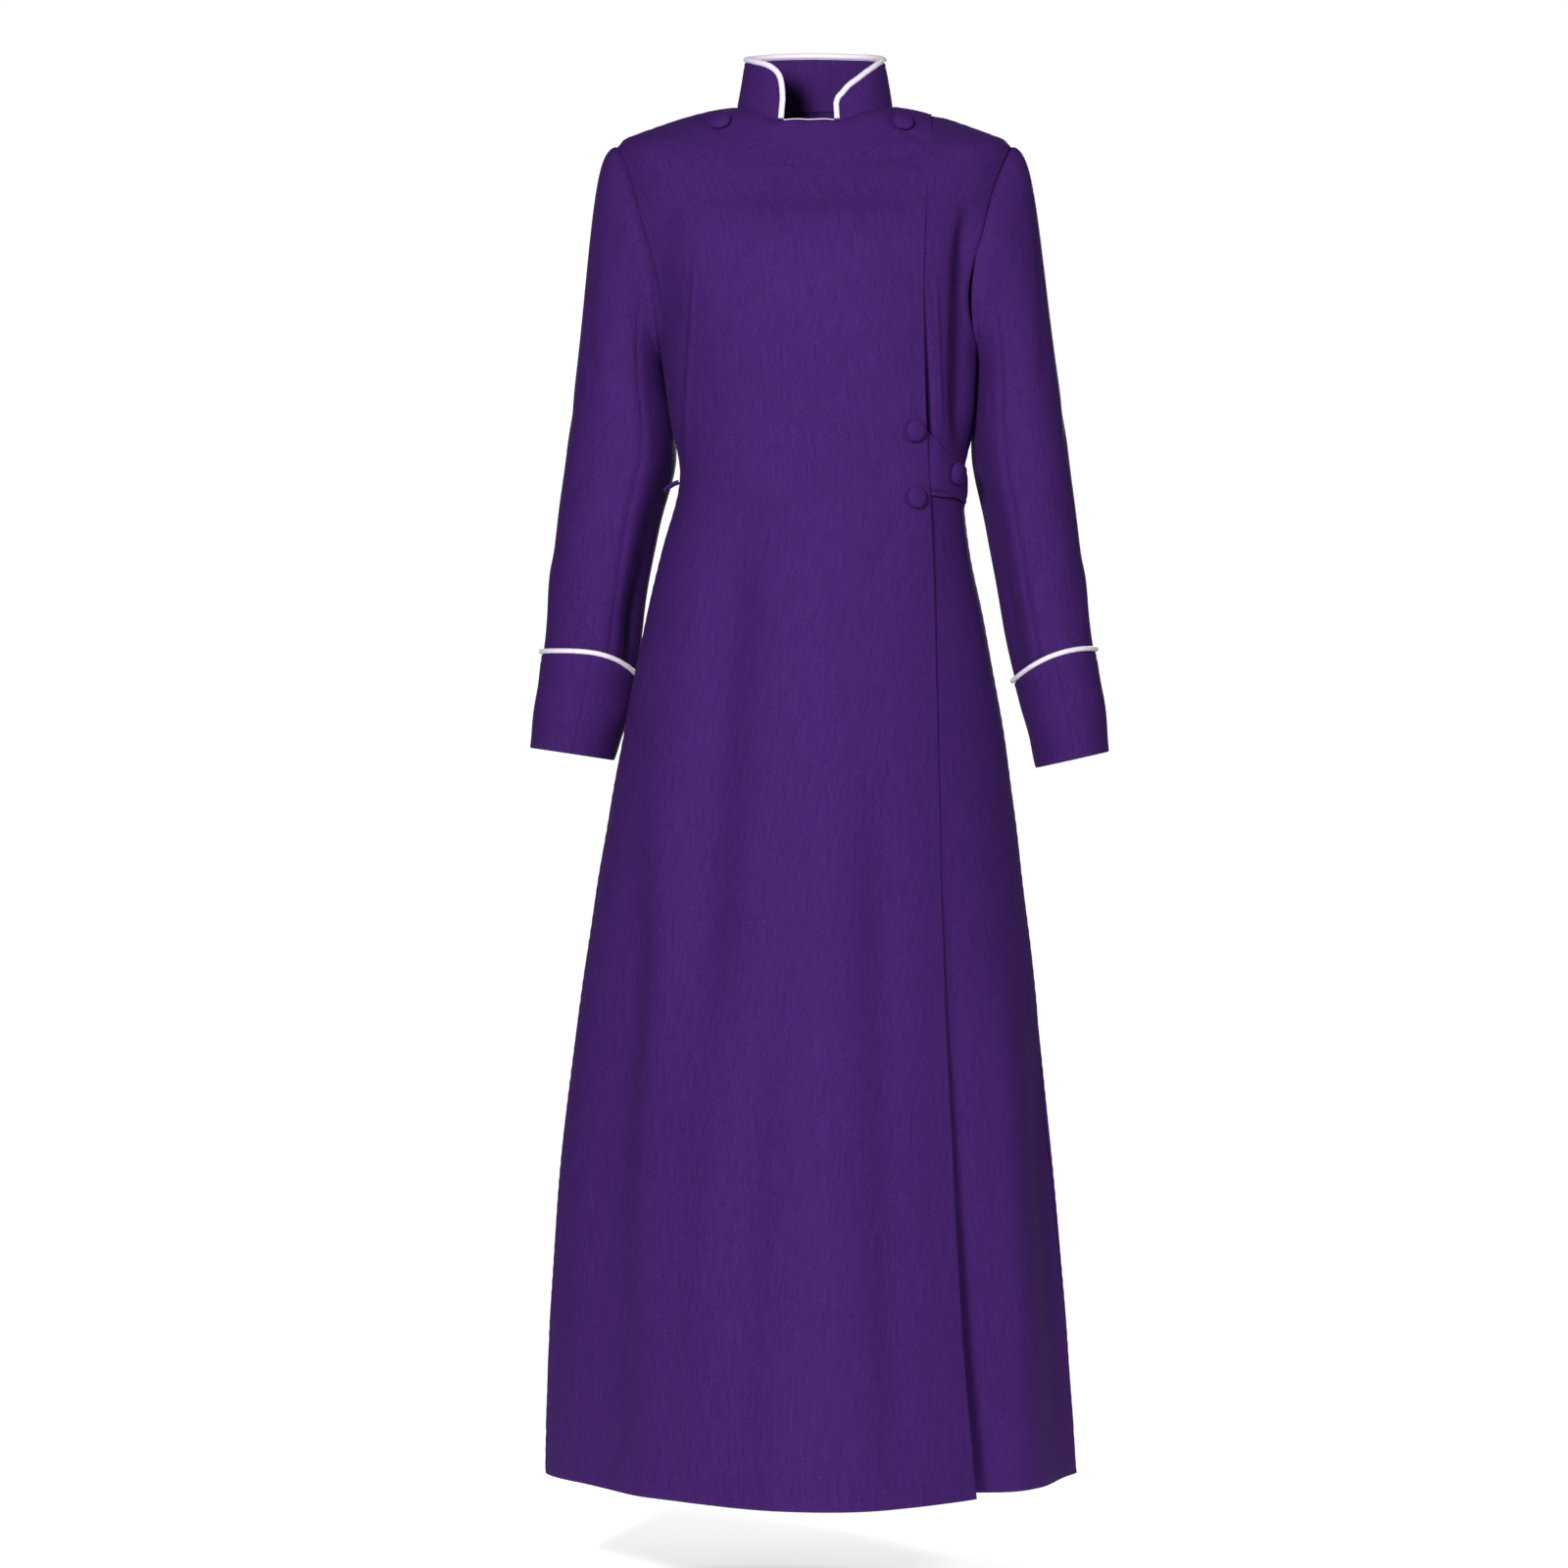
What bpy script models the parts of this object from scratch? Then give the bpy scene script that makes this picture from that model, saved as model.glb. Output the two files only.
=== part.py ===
"""A full-length cassock, hollow, in the form it keeps when worn.

Metres, +Z up. The front faces -Y, and left and right are the viewer's, looking at the front.
The origin is between the wearer's shoulders, at the height of the neck seam's sides.
"""

import math

import bmesh
import bpy
import numpy as np
from mathutils import Vector

# Cloth and seams
WALL = 0.0016
CUFF_WALL = 0.0020
COLLAR_WALL = 0.0022
SEAM_GAP = 0.0003
ARMHOLE_GAP = 0.0005
LAYER_GAP = 0.0008
PIPING_GAP = 0.0005

# The body's rings from the hem to the neck seam. Roundness is 1 for two flat arcs that meet
# at the side seams, 2 for an ellipse, and more for a squarer ring. The rises lift the ring
# at the centre front and centre back above its sides.
# Columns: height, left, right, front, back, roundness, front_rise, back_rise
BODY_RINGS = (
    (-1.391, 0.276, 0.268, 0.242, 0.236, 1.12, 0.000, 0.000),
    (-1.240, 0.271, 0.258, 0.223, 0.220, 1.20, 0.000, 0.000),
    (-1.090, 0.259, 0.246, 0.203, 0.202, 1.30, 0.000, 0.000),
    (-0.940, 0.242, 0.231, 0.185, 0.185, 1.40, 0.000, 0.000),
    (-0.790, 0.221, 0.213, 0.167, 0.169, 1.55, 0.000, 0.000),
    (-0.650, 0.197, 0.195, 0.149, 0.152, 1.70, 0.000, 0.000),
    (-0.530, 0.174, 0.174, 0.131, 0.134, 1.85, 0.000, 0.000),
    (-0.450, 0.155, 0.158, 0.117, 0.117, 2.00, 0.000, 0.000),
    (-0.378, 0.137, 0.152, 0.111, 0.102, 2.10, 0.000, 0.000),
    (-0.315, 0.147, 0.164, 0.118, 0.103, 2.15, 0.000, 0.000),
    (-0.250, 0.157, 0.168, 0.131, 0.111, 2.20, 0.000, 0.000),
    (-0.190, 0.172, 0.173, 0.134, 0.117, 2.30, 0.000, 0.000),
    (-0.130, 0.189, 0.187, 0.124, 0.118, 2.40, 0.000, 0.000),
    (-0.078, 0.197, 0.195, 0.106, 0.110, 2.30, -0.022, -0.012),
    (-0.033, 0.200, 0.200, 0.089, 0.096, 2.20, -0.034, -0.024),
    (-0.023, 0.180, 0.180, 0.079, 0.082, 2.10, -0.026, -0.014),
    (-0.012, 0.145, 0.145, 0.073, 0.070, 2.00, -0.024, -0.006),
    (-0.003, 0.110, 0.110, 0.069, 0.062, 2.00, -0.020, 0.000),
    (0.002, 0.079, 0.080, 0.064, 0.056, 2.00, -0.018, 0.006),
)
WAIST_RING, UNDERARM_RING, SHOULDER_RING = 8, 10, 14
NECK_RING = len(BODY_RINGS) - 1
ARMHOLE_MIDDLE = (UNDERARM_RING + SHOULDER_RING) / 2
ARMHOLE_HALF = (SHOULDER_RING - UNDERARM_RING) / 2
FRONT_ARMHOLE_TURN = math.radians(22.5)
BACK_ARMHOLE_TURN = math.radians(19.0)
ARMHOLE_STEP = math.radians(22.5)

# The skirt's largest folds: ridges have a positive depth and troughs a negative one.
# Columns: turn in degrees, drift in degrees per ring, top ring, depth, half width in degrees
FOLDS = (
    (10.0, -1.0, 7.0, 0.0070, 14.0),
    (-28.0, -0.6, 7.5, -0.0080, 10.0),
    (-58.0, -0.5, 5.0, -0.0060, 11.0),
    (-74.0, 0.0, 4.0, 0.0025, 8.0),
    (43.0, 1.0, 4.5, -0.0030, 4.0),
    (58.0, 0.0, 5.0, 0.0110, 11.0),
    (112.0, 1.0, 5.0, -0.0070, 9.0),
    (136.0, 0.6, 6.0, 0.0060, 9.0),
    (160.0, 0.0, 6.5, -0.0060, 8.0),
    (-162.0, 0.0, 6.0, 0.0060, 9.0),
    (-138.0, -0.6, 5.5, -0.0070, 9.0),
    (-112.0, 0.0, 5.0, 0.0050, 9.0),
)

# The free edge of the front that laps over, from the hem to the shoulder seam.
# Columns: ring, distance to the right of the centre, lift away from the body
OVERLAP_EDGE = (
    (0.0, 0.158, 0.0000),
    (1.0, 0.144, 0.0000),
    (2.0, 0.137, 0.0000),
    (3.0, 0.131, 0.0000),
    (4.0, 0.126, 0.0000),
    (5.0, 0.123, 0.0005),
    (6.0, 0.120, 0.0015),
    (7.0, 0.117, 0.0025),
    (8.0, 0.113, 0.0035),
    (9.0, 0.109, 0.0045),
    (10.0, 0.108, 0.0020),
    (11.0, 0.108, 0.0005),
    (12.0, 0.110, 0.0000),
    (13.0, 0.112, 0.0000),
    (14.0, 0.115, 0.0000),
    (15.0, 0.116, 0.0000),
    (16.0, 0.118, 0.0000),
    (17.0, 0.120, 0.0000),
)
EDGE_LIFT_TURN = math.radians(30.0)
UNDERLAP_TURN = math.radians(28.0)

# The sleeves' rings from the underarm to the wrist, as distances from the garment's centre.
# The tilt raises the ring's outer side and lowers its inner side.
# Columns: height, inner, outer, middle_y, half_depth, tilt
SLEEVE_RINGS = {
    "left": (
        (-0.275, 0.1500, 0.2430, 0.026, 0.066, 0.012),
        (-0.345, 0.1415, 0.2515, 0.028, 0.063, 0.012),
        (-0.415, 0.1585, 0.2605, 0.030, 0.059, 0.012),
        (-0.485, 0.1710, 0.2695, 0.034, 0.055, 0.011),
        (-0.550, 0.1795, 0.2760, 0.040, 0.051, 0.010),
        (-0.605, 0.1915, 0.2840, 0.045, 0.048, 0.008),
        (-0.657, 0.2085, 0.2905, 0.048, 0.046, 0.006),
    ),
    "right": (
        (-0.275, 0.1640, 0.2480, 0.024, 0.066, 0.012),
        (-0.345, 0.1625, 0.2580, 0.026, 0.064, 0.013),
        (-0.415, 0.1765, 0.2660, 0.022, 0.060, 0.013),
        (-0.485, 0.1885, 0.2750, 0.018, 0.056, 0.012),
        (-0.550, 0.2005, 0.2830, 0.014, 0.052, 0.011),
        (-0.605, 0.2155, 0.2930, 0.012, 0.049, 0.009),
        (-0.663, 0.2290, 0.2990, 0.012, 0.047, 0.008),
    ),
}
SIDE_SIGN = {"left": -1.0, "right": 1.0}
CAP_START = 0.10
CAP_END = 0.55
SLEEVE_TOP = -1.0
SLEEVE_END = 5.93
CUFF_END = 6.0
FRONT_SLEEVE_SEAM = math.radians(-22.5)
BACK_SLEEVE_SEAM = math.radians(202.5)

# The cuffs' upper edges: highest at the outside, and dropping towards the body.
# Columns: height at the outside, drop at the inside, how late the drop comes
CUFF_EDGE = {
    "left": (-0.5550, 0.026, 4.0),
    "right": (-0.5535, 0.031, 2.2),
}
CUFF_PIPING_RADIUS = 0.0024

# The collar's free edge, from the left front end round the back to the right front end.
# Columns: turn in degrees, height of the cloth's edge
COLLAR_EDGE = (
    (-28.5, 0.0030),
    (-30.0, 0.0145),
    (-32.5, 0.0240),
    (-37.0, 0.0305),
    (-45.0, 0.0360),
    (-57.0, 0.0400),
    (-78.0, 0.0455),
    (-110.0, 0.0510),
    (-145.0, 0.0570),
    (-180.0, 0.0590),
    (-215.0, 0.0570),
    (-250.0, 0.0520),
    (-276.0, 0.0460),
    (-291.0, 0.0415),
    (-309.5, 0.0310),
    (-320.0, 0.0230),
    (-330.0, 0.0145),
    (-336.5, 0.0060),
    (-339.5, 0.0020),
    (-341.0, -0.0030),
)
COLLAR_LEAN = 0.17
COLLAR_PIPING_RADIUS = 0.0028
NECK_EDGING_RADIUS = 0.0010
NECK_EDGING_TURNS = (-23.5, 14.0)

# The belt's edges round the waist, from under the overlap's edge to the left side seam.
# Columns: turn in degrees, lower height, upper height
BELT_EDGES = (
    (41.0, -0.392, -0.328),
    (45.0, -0.393, -0.334),
    (50.0, -0.394, -0.343),
    (57.0, -0.395, -0.354),
    (65.0, -0.397, -0.361),
    (75.0, -0.401, -0.365),
    (90.0, -0.407, -0.368),
    (135.0, -0.406, -0.366),
    (180.0, -0.404, -0.364),
    (225.0, -0.404, -0.364),
    (252.0, -0.404, -0.365),
)
BELT_GAP = 0.0016
TAB_TURNS = (41.0, 82.0)
TAB_RISE_TURNS = (48.0, 58.0)
HALF_BELT_TURNS = (60.0, 252.0)
BELT_STEP = 8.0

# The covered buttons' profile, from the back to the crown.
# Columns: radius, height
BUTTON_PROFILE = (
    (0.0098, 0.0000),
    (0.0112, 0.0018),
    (0.0108, 0.0042),
    (0.0080, 0.0062),
    (0.0040, 0.0072),
)
BUTTON_SIDES = 14
# Columns: ring, turn in degrees, gap to the cloth
OVERLAP_BUTTONS = {
    "shoulder_button_left": (16.30, -45.0, 0.0009),
    "shoulder_button_right": (16.30, 41.0, 0.0009),
    "waist_button_upper": (8.69, 37.6, 0.0003),
    "waist_button_lower": (7.66, 40.6, 0.0009),
}
SIDE_BUTTON = (8.05, 64.5, 0.0009)

# The narrow carrier that stands out of the left side at the waist.
LOOP_START = (-0.1380, -0.0080, -0.3805)
LOOP_END = (-0.1530, -0.0100, -0.3895)
LOOP_THICKNESS = 0.0032
LOOP_WIDTH = 0.0100

QUARTER = math.pi / 2.0
SMALL = 1e-6

PURPLE = (0.060, 0.019, 0.145, 1.0)
WHITE = (0.86, 0.84, 0.88, 1.0)


def clear_scene():
    for obj in list(bpy.data.objects):
        bpy.data.objects.remove(obj)


def finish_material(name, colour, roughness):
    """A non-metal Principled material."""
    material = bpy.data.materials.new(name)
    material.use_nodes = True
    shader = material.node_tree.nodes["Principled BSDF"]
    shader.inputs["Base Color"].default_value = colour
    shader.inputs["Roughness"].default_value = roughness
    shader.inputs["Metallic"].default_value = 0.0
    return material


def rows_at(table, station):
    """The table's columns at fractional row numbers, on a smooth curve through its rows."""
    rows = np.array(table)
    station = np.asarray(station, float)
    last = len(rows) - 1
    start = np.clip(np.floor(station).astype(int), 0, last - 1)
    part = (station - start)[..., None]
    before = rows[np.maximum(start - 1, 0)]
    here = rows[start]
    after = rows[start + 1]
    beyond = rows[np.minimum(start + 2, last)]
    slope = after - before
    bend = 2.0 * before - 5.0 * here + 4.0 * after - beyond
    twist = 3.0 * (here - after) + beyond - before
    return here + 0.5 * part * (slope + part * (bend + part * twist))


def ease(value):
    """0 below 0, 1 above 1, and a smooth step between them."""
    value = np.clip(value, 0.0, 1.0)
    return value * value * (3.0 - 2.0 * value)


def unit(vectors):
    return vectors / np.linalg.norm(vectors, axis=-1, keepdims=True)


def body_surface(turn, station):
    """The body without folds. The turn is 0 at the centre front and a quarter at the right seam."""
    columns = np.moveaxis(rows_at(BODY_RINGS, station), -1, 0)
    height, left, right, front, back, roundness, front_rise, back_rise = columns
    across = np.sin(turn)
    faces_front = np.cos(turn) > 0.0
    half_width = np.where(across < 0.0, left, right)
    half_depth = np.where(faces_front, front, back)
    squareness = np.maximum(roundness, 2.0)
    depth = half_depth * np.maximum(1.0 - np.abs(across) ** squareness, 0.0) ** (1.0 / roundness)
    rise = np.where(faces_front, front_rise, back_rise) * np.cos(turn) ** 2
    return np.stack((half_width * across, np.where(faces_front, -depth, depth), height + rise), -1)


def body_normal(turn, station):
    """The outward direction, from the surface a little to each side."""
    turn_step = math.radians(1.5)
    low = np.maximum(station - 0.08, 0.0)
    high = np.minimum(station + 0.08, NECK_RING)
    along = body_surface(turn + turn_step, station) - body_surface(turn - turn_step, station)
    upward = body_surface(turn, high) - body_surface(turn, low)
    return unit(np.cross(along, upward))


def fold_depth(turn, station):
    """How far the skirt's folds stand out of the smooth body."""
    total = np.zeros(np.broadcast(turn, station).shape)
    for centre, drift, top, depth, half_width in FOLDS:
        away = np.degrees(turn) - centre - drift * station
        away = (away + 180.0) % 360.0 - 180.0
        fade = ease((top - station) / top)
        total += depth * fade * np.exp(-((away / half_width) ** 2))
    return total


def edge_turn(station):
    """The turn of the overlap's free edge. Near the neck it runs along the shoulder seam."""
    rings, distances, _ = np.array(OVERLAP_EDGE).T
    half_width = rows_at(BODY_RINGS, station)[..., 2]
    return np.arcsin(np.minimum(np.interp(station, rings, distances) / half_width, 1.0))


def overlap_lift(turn, station):
    """How far the overlap stands off the body near its free edge."""
    rings, _, lifts = np.array(OVERLAP_EDGE).T
    nearness = ease(1.0 - (edge_turn(station) - turn) / EDGE_LIFT_TURN)
    return np.interp(station, rings, lifts) * nearness


def underlap_inset(turn, station):
    """The underlap lies one layer inside the overlap and comes out to the side seam."""
    edge = edge_turn(station)
    span = np.maximum(QUARTER - edge, EDGE_LIFT_TURN)
    return -(WALL + LAYER_GAP) * (1.0 - ease((turn - edge) / span))


def no_distance(turn, station):
    return np.zeros(np.broadcast(turn, station).shape)


def body_point(turn, station, out=0.0):
    """A point of the folded body, moved out along the surface's own direction."""
    distance = fold_depth(turn, station) + out
    return body_surface(turn, station) + body_normal(turn, station) * distance[..., None]


def side_step(station, armhole_turn):
    """How far in turn a panel's edge lies from the side: a seam's gap, or the armhole."""
    columns = rows_at(BODY_RINGS, station)
    seam = (0.5 * SEAM_GAP / columns[..., 3]) ** (columns[..., 5] / 2.0)
    climb = np.clip((station - ARMHOLE_MIDDLE) / ARMHOLE_HALF, -1.0, 1.0)
    return armhole_turn * np.sqrt(1.0 - climb**2) + seam


def body_rows():
    """The rings where every body panel has its points."""
    skirt = np.arange(0.0, WAIST_RING - 2.0)
    waist = np.arange(WAIST_RING - 2.0, UNDERARM_RING, 0.5)
    climb = np.arange(-QUARTER, QUARTER + SMALL, ARMHOLE_STEP)
    armhole = ARMHOLE_MIDDLE + ARMHOLE_HALF * np.sin(climb)
    shoulder = np.arange(SHOULDER_RING + 1.0, NECK_RING + SMALL, 0.5)
    return np.concatenate((skirt, waist, armhole, shoulder))


def link_object(name, data, material):
    data.materials.append(material)
    obj = bpy.data.objects.new(name, data)
    bpy.context.scene.collection.objects.link(obj)
    return obj


def link_mesh(name, vertices, faces, material):
    """A smooth-shaded mesh object whose faces point out."""
    mesh = bpy.data.meshes.new(name)
    mesh.from_pydata([tuple(vertex) for vertex in vertices], [], faces)
    shape = bmesh.new()
    shape.from_mesh(mesh)
    bmesh.ops.recalc_face_normals(shape, faces=shape.faces)
    shape.to_mesh(mesh)
    shape.free()
    mesh.shade_smooth()
    mesh.set_sharp_from_angle(angle=math.radians(50.0))
    return link_object(name, mesh, material)


def cloth_wall(name, outer, inner, material, closed=False):
    """A wall between two grids of points. A closed one joins its last column to its first.

    Both faces are cut along the same diagonals, so that walls made from the same points stay
    the same distance apart.
    """
    rows, columns, _ = outer.shape
    spans = columns if closed else columns - 1
    layer = rows * columns

    def outside(row, column):
        return row * columns + column % columns

    faces = []
    for row in range(rows - 1):
        for column in range(spans):
            low, low_next = outside(row, column), outside(row, column + 1)
            high, high_next = outside(row + 1, column), outside(row + 1, column + 1)
            for triangle in ((low, low_next, high), (low_next, high_next, high)):
                faces.append(triangle)
                faces.append([corner + layer for corner in reversed(triangle)])
    borders = [[outside(row, column) for column in range(spans + 1)] for row in (0, rows - 1)]
    if not closed:
        borders += [[outside(row, column) for row in range(rows)] for column in (0, columns - 1)]
    for border in borders:
        for here, there in zip(border, border[1:]):
            faces.append([here, there, there + layer, here + layer])
    vertices = np.concatenate((outer.reshape(-1, 3), inner.reshape(-1, 3)))
    return link_mesh(name, vertices, faces, material)


def tube(name, path, radius, material, closed=False):
    """A round cord along the path's points."""
    curve = bpy.data.curves.new(name, "CURVE")
    curve.dimensions = "3D"
    curve.bevel_depth = radius
    curve.bevel_resolution = 1
    curve.use_fill_caps = True
    spline = curve.splines.new("POLY")
    spline.points.add(len(path) - 1)
    for point, place in zip(spline.points, path):
        point.co = (*place, 1.0)
    spline.use_cyclic_u = closed
    return link_object(name, curve, material)


def body_panel(name, stops, spans, out, seam_axes, material):
    """A panel through stops, each a function that gives a turn on each row.

    The columns between two stops are evenly spaced. Where an edge is a seam, its axis is the
    one that crosses the seam's plane, and the wall is square to it.
    """
    rows = body_rows()
    edges = [stop(rows) for stop in stops]
    turns = [edges[0][:, None]]
    for start, end, count in zip(edges, edges[1:], spans):
        share = np.arange(1, count + 1) / count
        turns.append(start[:, None] + share * (end - start)[:, None])
    turn = np.concatenate(turns, axis=1)
    station = np.broadcast_to(rows[:, None], turn.shape)
    outer = body_point(turn, station, out(turn, station))
    normal = body_normal(turn, station)
    for column, axis in zip((0, -1), seam_axes):
        if axis is not None:
            normal[:, column, axis] = 0.0
    return cloth_wall(name, outer, outer - unit(normal) * WALL, material)


def left_front_seam(rows):
    return side_step(rows, FRONT_ARMHOLE_TURN) - QUARTER


def right_front_seam(rows):
    return QUARTER - side_step(rows, FRONT_ARMHOLE_TURN)


def right_back_seam(rows):
    return QUARTER + side_step(rows, BACK_ARMHOLE_TURN)


def overlap_edge(rows):
    return np.minimum(edge_turn(rows), right_front_seam(rows))


def lap_start(rows):
    return overlap_edge(rows) - UNDERLAP_TURN


def back_centre(rows):
    return math.pi - 0.5 * SEAM_GAP / rows_at(BODY_RINGS, rows)[..., 1]


def build_body(material):
    """The two fronts and the two backs."""
    x_axis, y_axis = 0, 1
    body_panel(
        "front_overlap",
        (left_front_seam, lap_start, overlap_edge),
        (13, 4),
        overlap_lift,
        (y_axis, None),
        material,
    )
    body_panel(
        "front_underlap",
        (lap_start, overlap_edge, right_front_seam),
        (4, 6),
        underlap_inset,
        (None, y_axis),
        material,
    )
    body_panel(
        "back_right",
        (right_back_seam, back_centre),
        (12,),
        no_distance,
        (y_axis, x_axis),
        material,
    )
    body_panel(
        "back_left",
        (lambda rows: -back_centre(rows), lambda rows: -right_back_seam(rows)),
        (12,),
        no_distance,
        (x_axis, y_axis),
        material,
    )


def sleeve_ring(side, turn, station):
    """A ring of the hanging sleeve. The turn is 0 at the front and a quarter at the outside."""
    columns = np.moveaxis(rows_at(SLEEVE_RINGS[side], station), -1, 0)
    height, inner, outer, middle_y, half_depth, tilt = columns
    across = np.sin(turn)
    x = 0.5 * (inner + outer) + 0.5 * (outer - inner) * across
    y = middle_y - half_depth * np.cos(turn)
    return np.stack((SIDE_SIGN[side] * x, y, height + tilt * across), -1)


def armhole_point(side, turn):
    """The armhole's loop on the body, by the sleeve's turn, and a seam's gap outside it."""
    forward = np.cos(turn)
    reach = np.where(forward > 0.0, FRONT_ARMHOLE_TURN, BACK_ARMHOLE_TURN)
    body_turn = SIDE_SIGN[side] * (QUARTER - reach * forward)
    loop = body_surface(body_turn, ARMHOLE_MIDDLE + ARMHOLE_HALF * np.sin(turn))
    loop[..., 0] += SIDE_SIGN[side] * ARMHOLE_GAP
    return loop


def sleeve_surface(side, turn, station):
    """The sleeve from the armhole, at station -1, to the wrist."""
    top = np.zeros(np.shape(turn))
    share = np.clip(station + 1.0, 0.0, 1.0)[..., None]
    start = armhole_point(side, turn)
    end = sleeve_ring(side, turn, top)
    length = np.linalg.norm(end - start, axis=-1, keepdims=True)
    outward = np.array((SIDE_SIGN[side], 0.0, 0.0))
    upward = unit(end - sleeve_ring(side, turn, top + 0.2))
    leave = start + outward * length * CAP_START
    arrive = end + upward * length * CAP_END
    rest = 1.0 - share
    cap = rest**3 * start + 3 * rest**2 * share * leave + 3 * rest * share**2 * arrive + share**3 * end
    ring = sleeve_ring(side, turn, np.maximum(station, 0.0))
    return np.where(station[..., None] < 0.0, cap, ring)


def sleeve_normal(side, turn, station):
    """Outward from the sleeve, and square to the armhole's plane at the seam."""
    turn_step = math.radians(3.0)
    low = np.maximum(station - 0.05, SLEEVE_TOP)
    high = np.minimum(station + 0.05, CUFF_END)
    around = sleeve_surface(side, turn + turn_step, station) - sleeve_surface(side, turn - turn_step, station)
    along = sleeve_surface(side, turn, high) - sleeve_surface(side, turn, low)
    normal = unit(np.cross(along, around)) * SIDE_SIGN[side]
    radial = np.stack((np.zeros(np.shape(turn)), -np.cos(turn), np.sin(turn)), -1)
    return np.where(station[..., None] < SLEEVE_TOP + SMALL, radial, normal)


def sleeve_panel(name, side, first_turn, last_turn, spans, material):
    gap = 0.5 * SEAM_GAP / SLEEVE_RINGS[side][0][4]
    turns = np.linspace(first_turn, last_turn, spans + 1)
    turns[0] += gap
    turns[-1] -= gap
    rows = np.concatenate((np.linspace(SLEEVE_TOP, 0.0, 6), np.arange(1.0, SLEEVE_END), [SLEEVE_END]))
    station, turn = np.meshgrid(rows, turns, indexing="ij")
    outer = sleeve_surface(side, turn, station)
    return cloth_wall(name, outer, outer - sleeve_normal(side, turn, station) * WALL, material)


def build_sleeves(material):
    """Each sleeve has an upper part outside and an under part next to the body."""
    step = ARMHOLE_STEP
    upper_spans = round((BACK_SLEEVE_SEAM - FRONT_SLEEVE_SEAM) / step)
    under_spans = round((FRONT_SLEEVE_SEAM + 2.0 * math.pi - BACK_SLEEVE_SEAM) / step)
    for side in SLEEVE_RINGS:
        upper = (FRONT_SLEEVE_SEAM, BACK_SLEEVE_SEAM, upper_spans)
        under = (BACK_SLEEVE_SEAM, FRONT_SLEEVE_SEAM + 2.0 * math.pi, under_spans)
        sleeve_panel(f"sleeve_{side}_upper", side, *upper, material)
        sleeve_panel(f"sleeve_{side}_under", side, *under, material)


def cuff_station(side, turn, raised):
    """Where on the sleeve the cuff's upper edge lies, raised by a distance."""
    outside, drop, lateness = CUFF_EDGE[side]
    height = outside - drop * ((1.0 - np.sin(turn)) / 2.0) ** lateness + raised
    stations = np.linspace(3.0, CUFF_END, 61)
    found = []
    for one_turn, one_height in zip(turn, height):
        heights = sleeve_ring(side, np.full(stations.shape, one_turn), stations)[:, 2]
        found.append(np.interp(-one_height, -heights, stations))
    return np.array(found)


def build_cuffs(cloth, piping):
    """A turned-back cuff round each wrist, with a cord of piping on its upper edge."""
    spans = round(2.0 * math.pi / ARMHOLE_STEP)
    turn = np.arange(spans) * ARMHOLE_STEP
    for side in SLEEVE_RINGS:
        top = cuff_station(side, turn, 0.0)
        share = np.linspace(0.0, 1.0, 4)[:, None]
        station = CUFF_END + share * (top - CUFF_END)
        turns = np.broadcast_to(turn, station.shape)
        sleeve = sleeve_surface(side, turns, station)
        normal = sleeve_normal(side, turns, station)
        inner = sleeve + normal * LAYER_GAP
        cloth_wall(f"cuff_{side}", inner + normal * CUFF_WALL, inner, cloth, closed=True)
        above = cuff_station(side, turn, PIPING_GAP + CUFF_PIPING_RADIUS)
        path = sleeve_surface(side, turn, above)
        path += sleeve_normal(side, turn, above) * (LAYER_GAP + CUFF_PIPING_RADIUS)
        tube(f"cuff_piping_{side}", path, CUFF_PIPING_RADIUS, piping, closed=True)


def neck_seam(turn):
    return body_surface(turn, np.full(np.shape(turn), float(NECK_RING)))


def collar_point(turn, height, out=0.0):
    """A point of the collar, which stands on the neck seam and leans in as it rises."""
    seam = neck_seam(turn)
    radial = unit(seam * np.array((1.0, 1.0, 0.0)))
    reach = out - COLLAR_LEAN * (height - seam[..., 2])
    point = seam + radial * reach[..., None]
    point[..., 2] = height
    return point


def collar_edge_path(away):
    """Points along the free edge, moved off the cloth by a distance."""
    degrees, heights = np.array(COLLAR_EDGE).T
    turn = np.radians(degrees)
    foot = neck_seam(turn)[:, 2] + SEAM_GAP + COLLAR_PIPING_RADIUS
    turn = np.concatenate((turn[:1], turn, turn[-1:]))
    height = np.concatenate((foot[:1], heights, foot[-1:]))
    radius = BODY_RINGS[NECK_RING][1]
    run = turn * radius
    along = unit(np.stack((np.gradient(run), np.gradient(height)), -1))
    turn = (run + along[:, 1] * away) / radius
    return collar_point(turn, height - along[:, 0] * away, -0.5 * COLLAR_WALL)


def build_collar(cloth, piping):
    """The standing collar, the piping on its free edge, and the edging of the open neckline."""
    degrees, top = np.array(COLLAR_EDGE).T
    turn = np.radians(degrees)
    foot = neck_seam(turn)[:, 2] + SEAM_GAP
    share = np.linspace(0.0, 1.0, 4)[:, None]
    height = foot + share * (top - foot)
    turns = np.broadcast_to(turn, height.shape)
    inner = collar_point(turns, height, -COLLAR_WALL)
    cloth_wall("collar", collar_point(turns, height), inner, cloth)
    away = PIPING_GAP + COLLAR_PIPING_RADIUS
    tube("collar_piping", collar_edge_path(away), COLLAR_PIPING_RADIUS, piping)
    turn = np.radians(np.linspace(*NECK_EDGING_TURNS, 6))
    height = neck_seam(turn)[:, 2] + SEAM_GAP + NECK_EDGING_RADIUS
    path = collar_point(turn, height, -0.5 * COLLAR_WALL)
    tube("neck_edging", path, NECK_EDGING_RADIUS, piping)


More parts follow.
